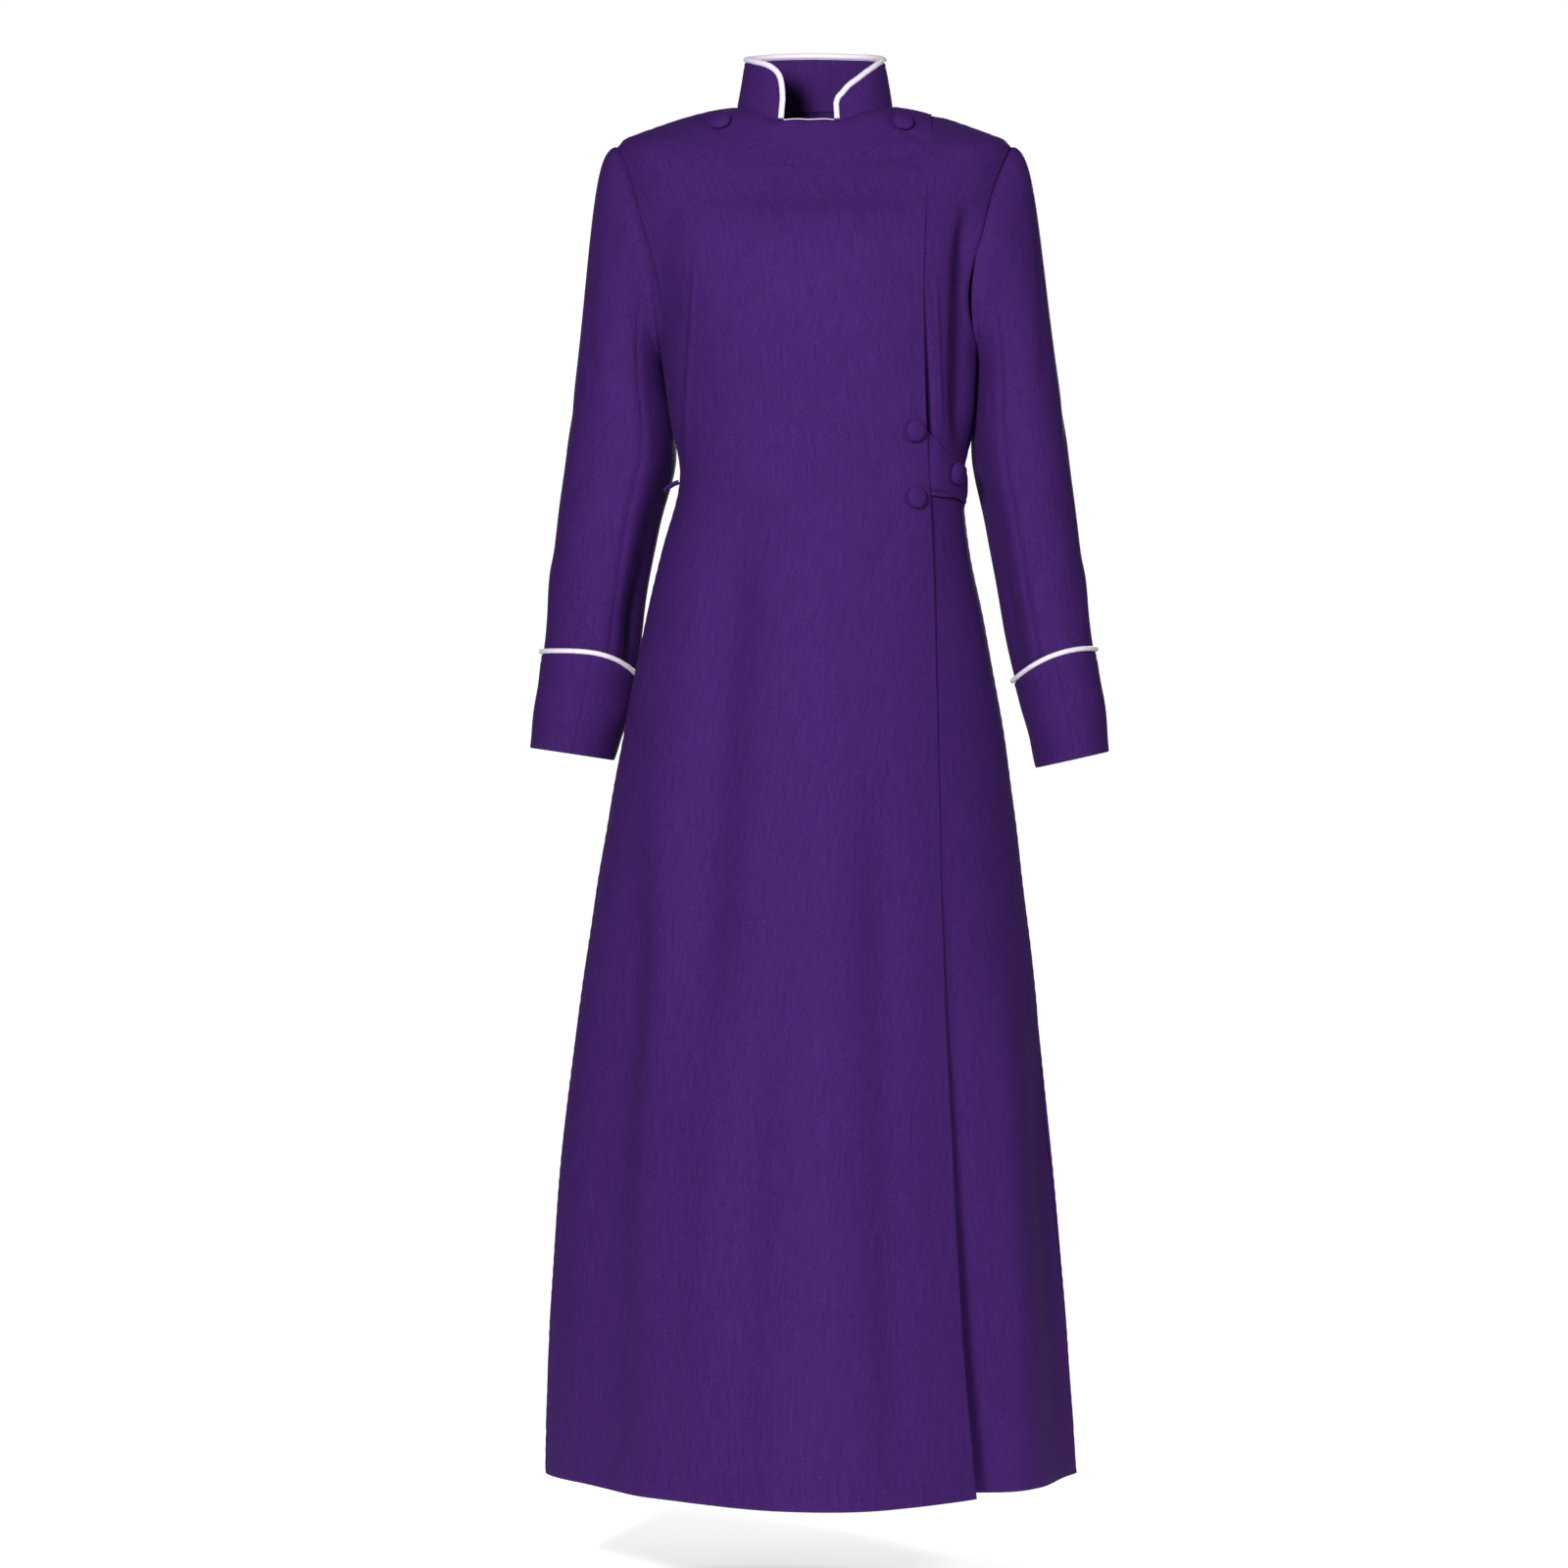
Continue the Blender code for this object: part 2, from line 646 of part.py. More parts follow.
def station_at(height):
    """The ring at a height, below the chest, where every ring is level."""
    stations = np.linspace(0.0, UNDERARM_RING, 401)
    return np.interp(height, rows_at(BODY_RINGS, stations)[:, 0], stations)


def belt_base(turn, station):
    """How far out the cloth under the belt lies."""
    inset = underlap_inset(np.minimum(turn, QUARTER), station)
    return np.where(turn < QUARTER, inset, 0.0)


def tab_base(turn, station):
    """The tab lies on the underlap, and then on the half belt's end."""
    first, last = np.radians(TAB_RISE_TURNS)
    return belt_base(turn, station) + ease((turn - first) / (last - first)) * (WALL + BELT_GAP)


def belt_strip(name, turns, base, material):
    """A strip of the belt between two turns, on the cloth that the base function gives."""
    first, last = turns
    spans = round((last - first) / BELT_STEP)
    degrees = np.linspace(first, last, spans + 1)
    table = np.array(BELT_EDGES)
    lower = np.interp(degrees, table[:, 0], table[:, 1])
    upper = np.interp(degrees, table[:, 0], table[:, 2])
    station = station_at(np.linspace(lower, upper, 3))
    turn = np.broadcast_to(np.radians(degrees), station.shape)
    inner = body_point(turn, station, base(turn, station) + BELT_GAP)
    outer = body_point(turn, station, base(turn, station) + BELT_GAP + WALL)
    cloth_wall(name, outer, inner, material)


def build_belt(material):
    belt_strip("waist_tab", TAB_TURNS, tab_base, material)
    belt_strip("half_belt", HALF_BELT_TURNS, belt_base, material)
    build_belt_loop(material)


def build_belt_loop(material):
    """A short flat strip that stands out of the left side and slopes down."""
    run = Vector(LOOP_END) - Vector(LOOP_START)
    bpy.ops.mesh.primitive_cube_add(size=1.0)
    loop = bpy.context.object
    loop.name = "belt_loop"
    loop.scale = (run.length, LOOP_WIDTH, LOOP_THICKNESS)
    bpy.ops.object.transform_apply(location=False, rotation=False, scale=True)
    loop.location = (Vector(LOOP_START) + Vector(LOOP_END)) / 2.0
    loop.rotation_mode = "QUATERNION"
    loop.rotation_quaternion = run.to_track_quat("X", "Z")
    bevel = loop.modifiers.new("rounded_edges", "BEVEL")
    bevel.width = LOOP_THICKNESS / 4.0
    loop.data.materials.append(material)


def button_mesh():
    """A covered button: a low dome on a flat back."""
    rings = []
    for radius, height in BUTTON_PROFILE:
        for side in range(BUTTON_SIDES):
            angle = 2.0 * math.pi * side / BUTTON_SIDES
            rings.append((radius * math.cos(angle), radius * math.sin(angle), height))
    faces = [list(range(BUTTON_SIDES)), list(range(len(rings) - BUTTON_SIDES, len(rings)))]
    for level in range(len(BUTTON_PROFILE) - 1):
        for side in range(BUTTON_SIDES):
            beside = (side + 1) % BUTTON_SIDES
            low, high = level * BUTTON_SIDES, (level + 1) * BUTTON_SIDES
            faces.append([low + side, low + beside, high + beside, high + side])
    return rings, faces


def build_buttons(material):
    """The buttons, each square to the cloth that it is sewn on."""
    places = {name: (place, overlap_lift) for name, place in OVERLAP_BUTTONS.items()}
    places["side_button"] = (SIDE_BUTTON, lambda turn, station: tab_base(turn, station) + BELT_GAP + WALL)
    vertices, faces = button_mesh()
    for name, ((ring, degrees, gap), base) in places.items():
        turn, station = np.array(math.radians(degrees)), np.array(ring)
        normal = Vector(body_normal(turn, station))
        button = link_mesh(name, vertices, faces, material)
        button.location = body_point(turn, station, base(turn, station) + gap)
        button.rotation_mode = "QUATERNION"
        button.rotation_quaternion = normal.to_track_quat("Z", "Y")


clear_scene()
purple = finish_material("purple_cloth", PURPLE, 0.75)
white = finish_material("white_piping", WHITE, 0.6)
build_body(purple)
build_sleeves(purple)
build_cuffs(purple, white)
build_collar(purple, white)
build_belt(purple)
build_buttons(purple)
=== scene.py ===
"""The looks of a full-length cassock, filled out as worn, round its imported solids.

Metres, +Z up, in the frame's own axes: the front faces -Y, and left and right are the viewer's.
"""

import math

import bmesh
import bpy
import numpy as np
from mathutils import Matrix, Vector


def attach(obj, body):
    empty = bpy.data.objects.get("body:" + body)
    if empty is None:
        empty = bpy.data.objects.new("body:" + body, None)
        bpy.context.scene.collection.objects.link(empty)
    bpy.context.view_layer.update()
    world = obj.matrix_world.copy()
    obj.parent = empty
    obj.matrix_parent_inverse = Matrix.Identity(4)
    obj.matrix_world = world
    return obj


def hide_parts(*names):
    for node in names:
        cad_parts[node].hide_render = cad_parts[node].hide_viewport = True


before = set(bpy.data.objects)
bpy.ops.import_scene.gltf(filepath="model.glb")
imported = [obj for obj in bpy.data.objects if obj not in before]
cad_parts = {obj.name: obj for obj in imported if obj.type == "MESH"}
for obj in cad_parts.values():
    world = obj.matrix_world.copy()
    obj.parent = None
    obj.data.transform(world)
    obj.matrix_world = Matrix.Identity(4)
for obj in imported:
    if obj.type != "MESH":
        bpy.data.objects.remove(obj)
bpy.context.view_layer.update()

# Cloth and seams
CLOTH = 0.0012
CUFF_CLOTH = 0.0018
COLLAR_CLOTH = 0.0022
LAYER_GAP = 0.0008
PIPING_GAP = 0.0003
SLEEVE_TUCK = 0.0045
SLEEVE_TUCK_DEPTH = 0.0014
COLLAR_TUCK = 0.0020

# The body's rings from the hem to the neck seam. Roundness is 1 for two flat arcs that meet
# at the side seams, 2 for an ellipse, and more for a squarer ring. The rises lift the ring
# at the centre front and centre back above its sides.
# Columns: height, left, right, front, back, roundness, front_rise, back_rise
BODY_RINGS = (
    (-1.391, 0.276, 0.268, 0.242, 0.236, 1.12, 0.000, 0.000),
    (-1.240, 0.271, 0.258, 0.223, 0.220, 1.20, 0.000, 0.000),
    (-1.090, 0.259, 0.246, 0.203, 0.202, 1.30, 0.000, 0.000),
    (-0.940, 0.242, 0.231, 0.185, 0.185, 1.40, 0.000, 0.000),
    (-0.790, 0.221, 0.213, 0.167, 0.169, 1.55, 0.000, 0.000),
    (-0.650, 0.197, 0.195, 0.149, 0.152, 1.70, 0.000, 0.000),
    (-0.530, 0.174, 0.174, 0.131, 0.134, 1.85, 0.000, 0.000),
    (-0.450, 0.155, 0.158, 0.117, 0.117, 2.00, 0.000, 0.000),
    (-0.378, 0.137, 0.152, 0.111, 0.102, 2.10, 0.000, 0.000),
    (-0.315, 0.147, 0.164, 0.118, 0.103, 2.15, 0.000, 0.000),
    (-0.250, 0.157, 0.168, 0.131, 0.111, 2.20, 0.000, 0.000),
    (-0.190, 0.172, 0.173, 0.134, 0.117, 2.30, 0.000, 0.000),
    (-0.130, 0.189, 0.187, 0.124, 0.118, 2.40, 0.000, 0.000),
    (-0.078, 0.197, 0.195, 0.106, 0.110, 2.30, -0.022, -0.012),
    (-0.033, 0.200, 0.200, 0.089, 0.096, 2.20, -0.034, -0.024),
    (-0.023, 0.180, 0.180, 0.079, 0.082, 2.10, -0.026, -0.014),
    (-0.012, 0.145, 0.145, 0.073, 0.070, 2.00, -0.024, -0.006),
    (-0.003, 0.110, 0.110, 0.069, 0.062, 2.00, -0.020, 0.000),
    (0.002, 0.079, 0.080, 0.064, 0.056, 2.00, -0.018, 0.006),
)
UNDERARM_RING, SHOULDER_RING = 10, 14
NECK_RING = len(BODY_RINGS) - 1
ARMHOLE_MIDDLE = (UNDERARM_RING + SHOULDER_RING) / 2
ARMHOLE_HALF = (SHOULDER_RING - UNDERARM_RING) / 2
FRONT_ARMHOLE_TURN = math.radians(22.5)
BACK_ARMHOLE_TURN = math.radians(19.0)

# The skirt's largest folds: ridges have a positive depth and troughs a negative one.
# Columns: turn in degrees, drift in degrees per ring, top ring, depth, half width in degrees
FOLDS = (
    (10.0, -1.0, 7.0, 0.0070, 14.0),
    (-28.0, -0.6, 7.5, -0.0080, 10.0),
    (-58.0, -0.5, 5.0, -0.0060, 11.0),
    (-74.0, 0.0, 4.0, 0.0025, 8.0),
    (43.0, 1.0, 4.5, -0.0030, 4.0),
    (58.0, 0.0, 5.0, 0.0110, 11.0),
    (112.0, 1.0, 5.0, -0.0070, 9.0),
    (136.0, 0.6, 6.0, 0.0060, 9.0),
    (160.0, 0.0, 6.5, -0.0060, 8.0),
    (-162.0, 0.0, 6.0, 0.0060, 9.0),
    (-138.0, -0.6, 5.5, -0.0070, 9.0),
    (-112.0, 0.0, 5.0, 0.0050, 9.0),
)

# The free edge of the front that laps over, from the hem to the shoulder seam.
# Columns: ring, distance to the right of the centre, lift away from the body
OVERLAP_EDGE = (
    (0.0, 0.158, 0.0000),
    (1.0, 0.144, 0.0000),
    (2.0, 0.137, 0.0000),
    (3.0, 0.131, 0.0000),
    (4.0, 0.126, 0.0000),
    (5.0, 0.123, 0.0005),
    (6.0, 0.120, 0.0015),
    (7.0, 0.117, 0.0025),
    (8.0, 0.113, 0.0035),
    (9.0, 0.109, 0.0045),
    (10.0, 0.108, 0.0020),
    (11.0, 0.108, 0.0005),
    (12.0, 0.110, 0.0000),
    (13.0, 0.112, 0.0000),
    (14.0, 0.115, 0.0000),
    (15.0, 0.116, 0.0000),
    (16.0, 0.118, 0.0000),
    (17.0, 0.120, 0.0000),
)
EDGE_LIFT_TURN = math.radians(30.0)
UNDERLAP_TURN = math.radians(28.0)
LAYER_INSET = 0.0024

# Hollows of the underlap beside the free edge: the gape above the waist, and the skirt's.
# Columns: first ring, last ring, depth, distance from the edge and half width in degrees
EDGE_HOLLOWS = (
    (8.3, 10.8, 0.0180, 1.3, 2.7),
    (-1.0, 4.6, 0.0320, 3.4, 4.4),
)

# The sleeves' rings from the underarm to the wrist, as distances from the garment's centre.
# The tilt raises the ring's outer side and lowers its inner side.
# Columns: height, inner, outer, middle_y, half_depth, tilt
SLEEVE_RINGS = {
    "left": (
        (-0.275, 0.1500, 0.2430, 0.026, 0.066, 0.012),
        (-0.345, 0.1415, 0.2515, 0.028, 0.063, 0.012),
        (-0.415, 0.1585, 0.2605, 0.030, 0.059, 0.012),
        (-0.485, 0.1710, 0.2695, 0.034, 0.055, 0.011),
        (-0.550, 0.1795, 0.2760, 0.040, 0.051, 0.010),
        (-0.605, 0.1915, 0.2840, 0.045, 0.048, 0.008),
        (-0.657, 0.2085, 0.2905, 0.048, 0.046, 0.006),
    ),
    "right": (
        (-0.275, 0.1640, 0.2480, 0.024, 0.066, 0.012),
        (-0.345, 0.1625, 0.2580, 0.026, 0.064, 0.013),
        (-0.415, 0.1765, 0.2660, 0.022, 0.060, 0.013),
        (-0.485, 0.1885, 0.2750, 0.018, 0.056, 0.012),
        (-0.550, 0.2005, 0.2830, 0.014, 0.052, 0.011),
        (-0.605, 0.2155, 0.2930, 0.012, 0.049, 0.009),
        (-0.663, 0.2290, 0.2990, 0.012, 0.047, 0.008),
    ),
}
SIDE_SIGN = {"left": -1.0, "right": 1.0}
CAP_START = 0.10
CAP_END = 0.55
SLEEVE_TOP = -1.0
SLEEVE_END = 5.93
CUFF_END = 6.0
FRONT_SLEEVE_SEAM = math.radians(-22.5)
BACK_SLEEVE_SEAM = math.radians(202.5)

# The cuffs' upper edges: highest at the outside, and dropping towards the body.
# Columns: height at the outside, drop at the inside, how late the drop comes
CUFF_EDGE = {
    "left": (-0.5550, 0.026, 4.0),
    "right": (-0.5535, 0.031, 2.2),
}
CUFF_PIPING_RADIUS = 0.0026

# The collar's free edge, from the left front end round the back to the right front end.
# Columns: turn in degrees, height of the cloth's edge
COLLAR_EDGE = (
    (-28.5, 0.0030),
    (-30.0, 0.0145),
    (-32.5, 0.0240),
    (-37.0, 0.0305),
    (-45.0, 0.0360),
    (-57.0, 0.0400),
    (-78.0, 0.0455),
    (-110.0, 0.0510),
    (-145.0, 0.0570),
    (-180.0, 0.0590),
    (-215.0, 0.0570),
    (-250.0, 0.0520),
    (-276.0, 0.0460),
    (-291.0, 0.0415),
    (-309.5, 0.0310),
    (-320.0, 0.0230),
    (-330.0, 0.0145),
    (-336.5, 0.0060),
    (-339.5, 0.0020),
    (-341.0, -0.0030),
)
COLLAR_LEAN = 0.17
COLLAR_SEAM_DEPTH = 0.0010
COLLAR_SEAM_WIDTH = 0.0022
COLLAR_ROUNDING = 0.0005
COLLAR_PIPING_RADIUS = 0.0030
NECK_EDGING_RADIUS = 0.0005
NECK_EDGING_TURNS = (-23.5, 14.0)

# The belt's edges round the waist, from under the overlap's edge to the left side seam.
# Columns: turn in degrees, lower height, upper height
BELT_EDGES = (
    (41.0, -0.392, -0.328),
    (45.0, -0.393, -0.334),
    (50.0, -0.394, -0.343),
    (57.0, -0.395, -0.354),
    (65.0, -0.397, -0.361),
    (75.0, -0.401, -0.365),
    (90.0, -0.407, -0.368),
    (135.0, -0.406, -0.366),
    (180.0, -0.404, -0.364),
    (225.0, -0.404, -0.364),
    (252.0, -0.404, -0.365),
)
BELT_GAP = 0.0016
BELT_CLOTH = 0.0016
BELT_ROLL = 0.0022
BELT_ROLL_WIDTH = 0.0080
BELT_STITCH_INSET = 0.0050
BELT_STITCH_WIDTH = 0.0010
TAB_LIP = 0.0042
TAB_LIP_DEPTH = 0.0018
TAB_LIP_END = 72.0
TAB_LIP_FADE = 16.0
TAB_TURNS = (41.0, 82.0)
TAB_RISE_TURNS = (46.5, 52.0)
HALF_BELT_TURNS = (60.0, 252.0)

# The covered buttons' profile, from the back to the crown.
# Columns: radius, height
BUTTON_PROFILE = (
    (0.0090, 0.0000),
    (0.0104, 0.0006),
    (0.0112, 0.0020),
    (0.0113, 0.0032),
    (0.0107, 0.0044),
    (0.0094, 0.0055),
    (0.0074, 0.0064),
    (0.0048, 0.0070),
    (0.0020, 0.0073),
)
BUTTON_SIDES = 48
BUTTON_PLEATS = 12
BUTTON_PLEAT_DEPTH = 0.00018
# Columns: ring, turn in degrees, gap to the cloth
OVERLAP_BUTTONS = {
    "shoulder_button_left": (16.30, -45.0, 0.0009),
    "shoulder_button_right": (16.30, 41.0, 0.0009),
    "waist_button_upper": (8.69, 37.6, 0.0003),
    "waist_button_lower": (7.66, 40.6, 0.0009),
}
SIDE_BUTTON = (8.05, 64.5, 0.0009)

# The narrow carrier that stands out of the left side at the waist.
LOOP_START = (-0.1380, -0.0080, -0.3805)
LOOP_END = (-0.1530, -0.0100, -0.3895)
LOOP_THICKNESS = 0.0032
LOOP_WIDTH = 0.0100
LOOP_CLOTH = 0.0008

# Creases on the body, each along a line seen from the front or the back. Ridges have a
# positive depth and troughs a negative one. The bow bends the line sideways at its middle.
# Columns: face (-1 front, 1 back), start x, start z, end x, end z, bow, depth, half width
CREASES = (
    (-1, -0.118, -0.150, -0.131, -0.386, 0.002, 0.0018, 0.0022),
    (-1, -0.124, -0.150, -0.138, -0.386, 0.002, -0.0012, 0.0038),
    (-1, 0.120, -0.175, 0.1285, -0.345, 0.000, 0.0015, 0.0022),
    (-1, 0.126, -0.180, 0.134, -0.350, 0.002, -0.0008, 0.0040),
    (-1, 0.156, -0.090, 0.150, -0.370, 0.002, -0.0160, 0.0110),
    (-1, -0.150, -0.090, -0.140, -0.260, 0.006, -0.0050, 0.0180),
    (-1, -0.072, -0.370, -0.118, -0.980, 0.004, -0.0130, 0.0290),
    (-1, -0.152, -0.560, -0.196, -1.250, -0.006, 0.0040, 0.0170),
    (-1, -0.172, -0.700, -0.208, -1.480, 0.004, -0.0110, 0.0220),
    (-1, -0.222, -0.900, -0.252, -1.480, 0.002, 0.0040, 0.0160),
    (-1, 0.000, -0.420, 0.004, -1.480, -0.004, 0.0060, 0.0380),
    (-1, 0.066, -0.620, 0.084, -1.480, 0.004, -0.0070, 0.0220),
    (-1, -0.052, -0.900, -0.066, -1.480, 0.005, -0.0045, 0.0180),
    (-1, -0.098, -0.980, -0.120, -1.480, 0.004, 0.0040, 0.0180),
    (-1, 0.184, -0.820, 0.212, -1.480, 0.002, 0.0050, 0.0180),
    (-1, 0.226, -0.900, 0.250, -1.480, 0.000, -0.0060, 0.0140),
    (-1, -0.130, -0.070, 0.115, -0.080, 0.012, -0.0030, 0.0380),
    (-1, -0.096, -0.170, 0.096, -0.184, -0.014, 0.0038, 0.0420),
    (-1, -0.125, -0.402, 0.020, -0.430, 0.004, -0.0030, 0.0160),
    (-1, 0.020, -0.395, 0.090, -0.372, 0.003, -0.0022, 0.0100),
    (-1, 0.086, -0.026, 0.116, -0.040, 0.001, -0.0016, 0.0030),
    (-1, 0.090, -0.042, 0.112, -0.070, -0.002, -0.0012, 0.0040),
    (-1, 0.050, -0.480, 0.094, -0.412, 0.002, -0.0022, 0.0080),
    (1, -0.070, -0.150, -0.075, -0.560, 0.006, -0.0014, 0.0030),
    (1, 0.070, -0.150, 0.075, -0.560, -0.006, -0.0014, 0.0030),
    (1, -0.110, -0.460, -0.165, -1.480, 0.006, -0.0090, 0.0170),
    (1, 0.105, -0.470, 0.150, -1.480, -0.006, -0.0090, 0.0170),
    (1, -0.050, -0.560, -0.070, -1.480, 0.004, 0.0060, 0.0200),
    (1, 0.048, -0.600, 0.060, -1.480, 0.003, 0.0060, 0.0220),
    (1, 0.190, -0.700, 0.225, -1.480, 0.003, -0.0070, 0.0150),
    (1, -0.185, -0.720, -0.230, -1.480, 0.003, -0.0070, 0.0150),
    (1, -0.120, -0.330, 0.115, -0.338, 0.004, -0.0030, 0.0080),
    (1, -0.100, -0.290, 0.090, -0.304, -0.006, 0.0022, 0.0080),
    (1, -0.130, -0.110, 0.120, -0.118, 0.010, -0.0026, 0.0200),
)
# Creases on the sleeves, in turns round and stations down them.
# Columns: side, start turn, start station, end turn, end station, depth, half width
SLEEVE_CREASES = (
    ("left", -66.0, 0.20, -64.0, 4.60, -0.0075, 0.0240),
    ("left", -66.0, 1.80, -64.0, 8.40, -0.0075, 0.0240),
    ("right", -66.0, 0.20, -64.0, 4.60, -0.0060, 0.0220),
    ("right", -66.0, 1.80, -64.0, 8.40, -0.0060, 0.0220),
    ("left", 70.0, -0.55, 20.0, 0.40, -0.0020, 0.0080),
    ("left", 110.0, 0.20, 60.0, 1.20, -0.0016, 0.0100),
    ("left", 20.0, 1.30, 75.0, 2.10, -0.0018, 0.0080),
    ("left", -15.0, 2.40, 40.0, 2.90, -0.0018, 0.0070),
    ("left", 95.0, 2.60, 60.0, 3.70, 0.0016, 0.0100),
    ("left", 160.0, 1.60, 220.0, 2.40, -0.0024, 0.0090),
    ("left", 200.0, 2.50, 150.0, 3.30, -0.0020, 0.0080),
    ("left", 5.0, 3.30, 20.0, 4.60, 0.0014, 0.0090),
    ("right", 70.0, -0.55, 20.0, 0.40, -0.0020, 0.0080),
    ("right", 100.0, 0.30, 55.0, 1.40, -0.0016, 0.0100),
    ("right", 15.0, 1.60, 70.0, 2.30, -0.0018, 0.0080),
    ("right", -20.0, 2.30, 35.0, 2.90, -0.0018, 0.0070),
    ("right", 90.0, 2.70, 50.0, 3.90, 0.0016, 0.0100),
    ("right", 165.0, 1.50, 215.0, 2.30, -0.0024, 0.0090),
    ("right", 205.0, 2.60, 150.0, 3.40, -0.0020, 0.0080),
    ("right", 10.0, 3.40, 25.0, 4.60, 0.0014, 0.0090),
)

# Seams and edges in relief
SEAM_DEPTH = 0.0011
SEAM_HALF_WIDTH = 0.0026
SEAM_ROLL = 0.0005
SEAM_ROLL_DISTANCE = 0.0070
SEAM_ROLL_WIDTH = 0.0040
PUCKER_DEPTH = 0.00022
PUCKER_LENGTH = 0.011
EDGE_ROUNDING = 0.0006
EDGE_BORDER = 0.0012
HEM_HEIGHT = 0.040
HEM_DEPTH = 0.0006
HEM_LINE_WIDTH = 0.0022
EDGE_ROLL_WIDTH = 0.001
STITCH_DEPTH = 0.0004
STITCH_WIDTH = 0.0012
CUFF_STITCH_INSET = 0.006
COLLAR_STITCH_INSET = 0.005
CUFF_WAVE = 0.0007
COLLAR_WAVE = 0.0004
LONG_WAVE = 0.0014
SHORT_WAVE = 0.0007
SLACK_WAVE = 0.00045
SLEEVE_RIPPLE = 0.0005
GATHER_DEPTH = 0.0003
GATHER_LENGTH = 0.016
GATHER_DISTANCE = 0.012
GATHER_WIDTH = 0.010
HEAD_DISTANCE = 0.010
HEAD_WEAR_WIDTH = 0.008
SLEEVE_SEAM_START = 0.02
HEM_LEVELLING = 0.15
UNDERARM_ROLL = 0.0024
SHOULDER_DROP = 0.0060
HEAD_DROP_WIDTH = 0.024
# How the shoulder's drop goes on above the armhole's top, and how far it reaches from the seam.
# Columns: ring above the armhole's top, share of the drop, reach
SHOULDER_ROUNDING = (
    (-0.40, 1.00, 0.012),
    (0.00, 1.00, 0.045),
    (0.12, 1.30, 0.060),
    (0.25, 1.22, 0.060),
    (0.50, 0.80, 0.060),
    (1.00, 0.54, 0.060),
    (1.40, 0.50, 0.060),
    (1.80, 0.35, 0.060),
    (2.20, 0.20, 0.060),
    (3.20, 0.00, 0.060),
)
# Where the neck seam dips, so that it runs level between the collar's front ends.
# Columns: turn in degrees, dip, half width in degrees
NECK_DIPS = (
    (-28.5, 0.0056, 13.0),
    (-4.0, 0.0024, 12.0),
    (19.0, 0.0040, 11.0),
)
NECK_DIP_START = 15.0

ROW_STEP = 0.006
ARMHOLE_ROW_STEP = math.radians(3.0)
SLEEVE_COLUMN_STEP = math.radians(4.0)

# The photograph's viewpoint
CAMERA_PLACE = (-0.031, -4.5, -0.688)
CAMERA_LENS = 101.25
CAMERA_SENSOR = 36.0
FLOOR_HEIGHT = -1.50
FLOOR_RADIUS = 1.1

# The studio's light: how bright it is round about, and behind the garment, where the
# direction's share towards +Y passes from the first number to the second.
STUDIO_LIGHT = 0.13
BACKDROP_LIGHT = 1.02
BACKDROP_EDGE = 0.72
BACKDROP_FULL = 0.93
LIGHT_TARGET = (0.0, 0.0, -0.45)
# Columns: name, place, size, power
SOFTBOXES = (
    ("key_softbox", (-0.70, -2.60, 0.10), 0.6, 114.0),
    ("fill_softbox", (2.10, -1.80, 0.20), 0.6, 30.0),
    ("back_softbox", (0.60, 3.20, 0.30), 1.2, 110.0),
)

QUARTER = math.pi / 2.0
SMALL = 1e-6

PURPLE = (0.0408, 0.0116, 0.0985)
PURPLE_DARK = (0.0250, 0.0064, 0.0650)
PURPLE_WORN = (0.0520, 0.0170, 0.1180)
WHITE = (0.62, 0.57, 0.66)
WHITE_SHADE = (0.50, 0.45, 0.55)


def rows_at(table, station):
    """The table's columns at fractional row numbers, on a smooth curve through its rows."""
    rows = np.array(table)
    station = np.asarray(station, float)
    last = len(rows) - 1
    start = np.clip(np.floor(station).astype(int), 0, last - 1)
    part = (station - start)[..., None]
    before = rows[np.maximum(start - 1, 0)]
    here = rows[start]
    after = rows[start + 1]
    beyond = rows[np.minimum(start + 2, last)]
    slope = after - before
    bend = 2.0 * before - 5.0 * here + 4.0 * after - beyond
    twist = 3.0 * (here - after) + beyond - before
    return here + 0.5 * part * (slope + part * (bend + part * twist))


def ease(value):
    """0 below 0, 1 above 1, and a smooth step between them."""
    value = np.clip(value, 0.0, 1.0)
    return value * value * (3.0 - 2.0 * value)


def unit(vectors):
    return vectors / np.maximum(np.linalg.norm(vectors, axis=-1, keepdims=True), SMALL)


def bump(distance, half_width):
    return np.exp(-((distance / half_width) ** 2))


def body_surface(turn, station):
    """The body without folds. The turn is 0 at the centre front and a quarter at the right seam."""
    columns = np.moveaxis(rows_at(BODY_RINGS, station), -1, 0)
    height, left, right, front, back, roundness, front_rise, back_rise = columns
    across = np.sin(turn)
    faces_front = np.cos(turn) > 0.0
    half_width = np.where(across < 0.0, left, right)
    half_depth = np.where(faces_front, front, back)
    squareness = np.maximum(roundness, 2.0)
    depth = half_depth * np.maximum(1.0 - np.abs(across) ** squareness, 0.0) ** (1.0 / roundness)
    rise = np.where(faces_front, front_rise, back_rise) * np.cos(turn) ** 2
    near_neck = ease((station - NECK_DIP_START) / (NECK_RING - NECK_DIP_START))
    for centre, dip, spread_angle in NECK_DIPS:
        away = (np.degrees(turn) - centre + 180.0) % 360.0 - 180.0
        rise = rise - dip * near_neck * bump(away, spread_angle)
    return np.stack((half_width * across, np.where(faces_front, -depth, depth), height + rise), -1)


def body_normal(turn, station):
    """The outward direction, from the surface a little to each side."""
    turn_step = math.radians(1.5)
    low = np.maximum(station - 0.08, 0.0)
    high = np.minimum(station + 0.08, NECK_RING)
    along = body_surface(turn + turn_step, station) - body_surface(turn - turn_step, station)
    upward = body_surface(turn, high) - body_surface(turn, low)
    return unit(np.cross(along, upward))


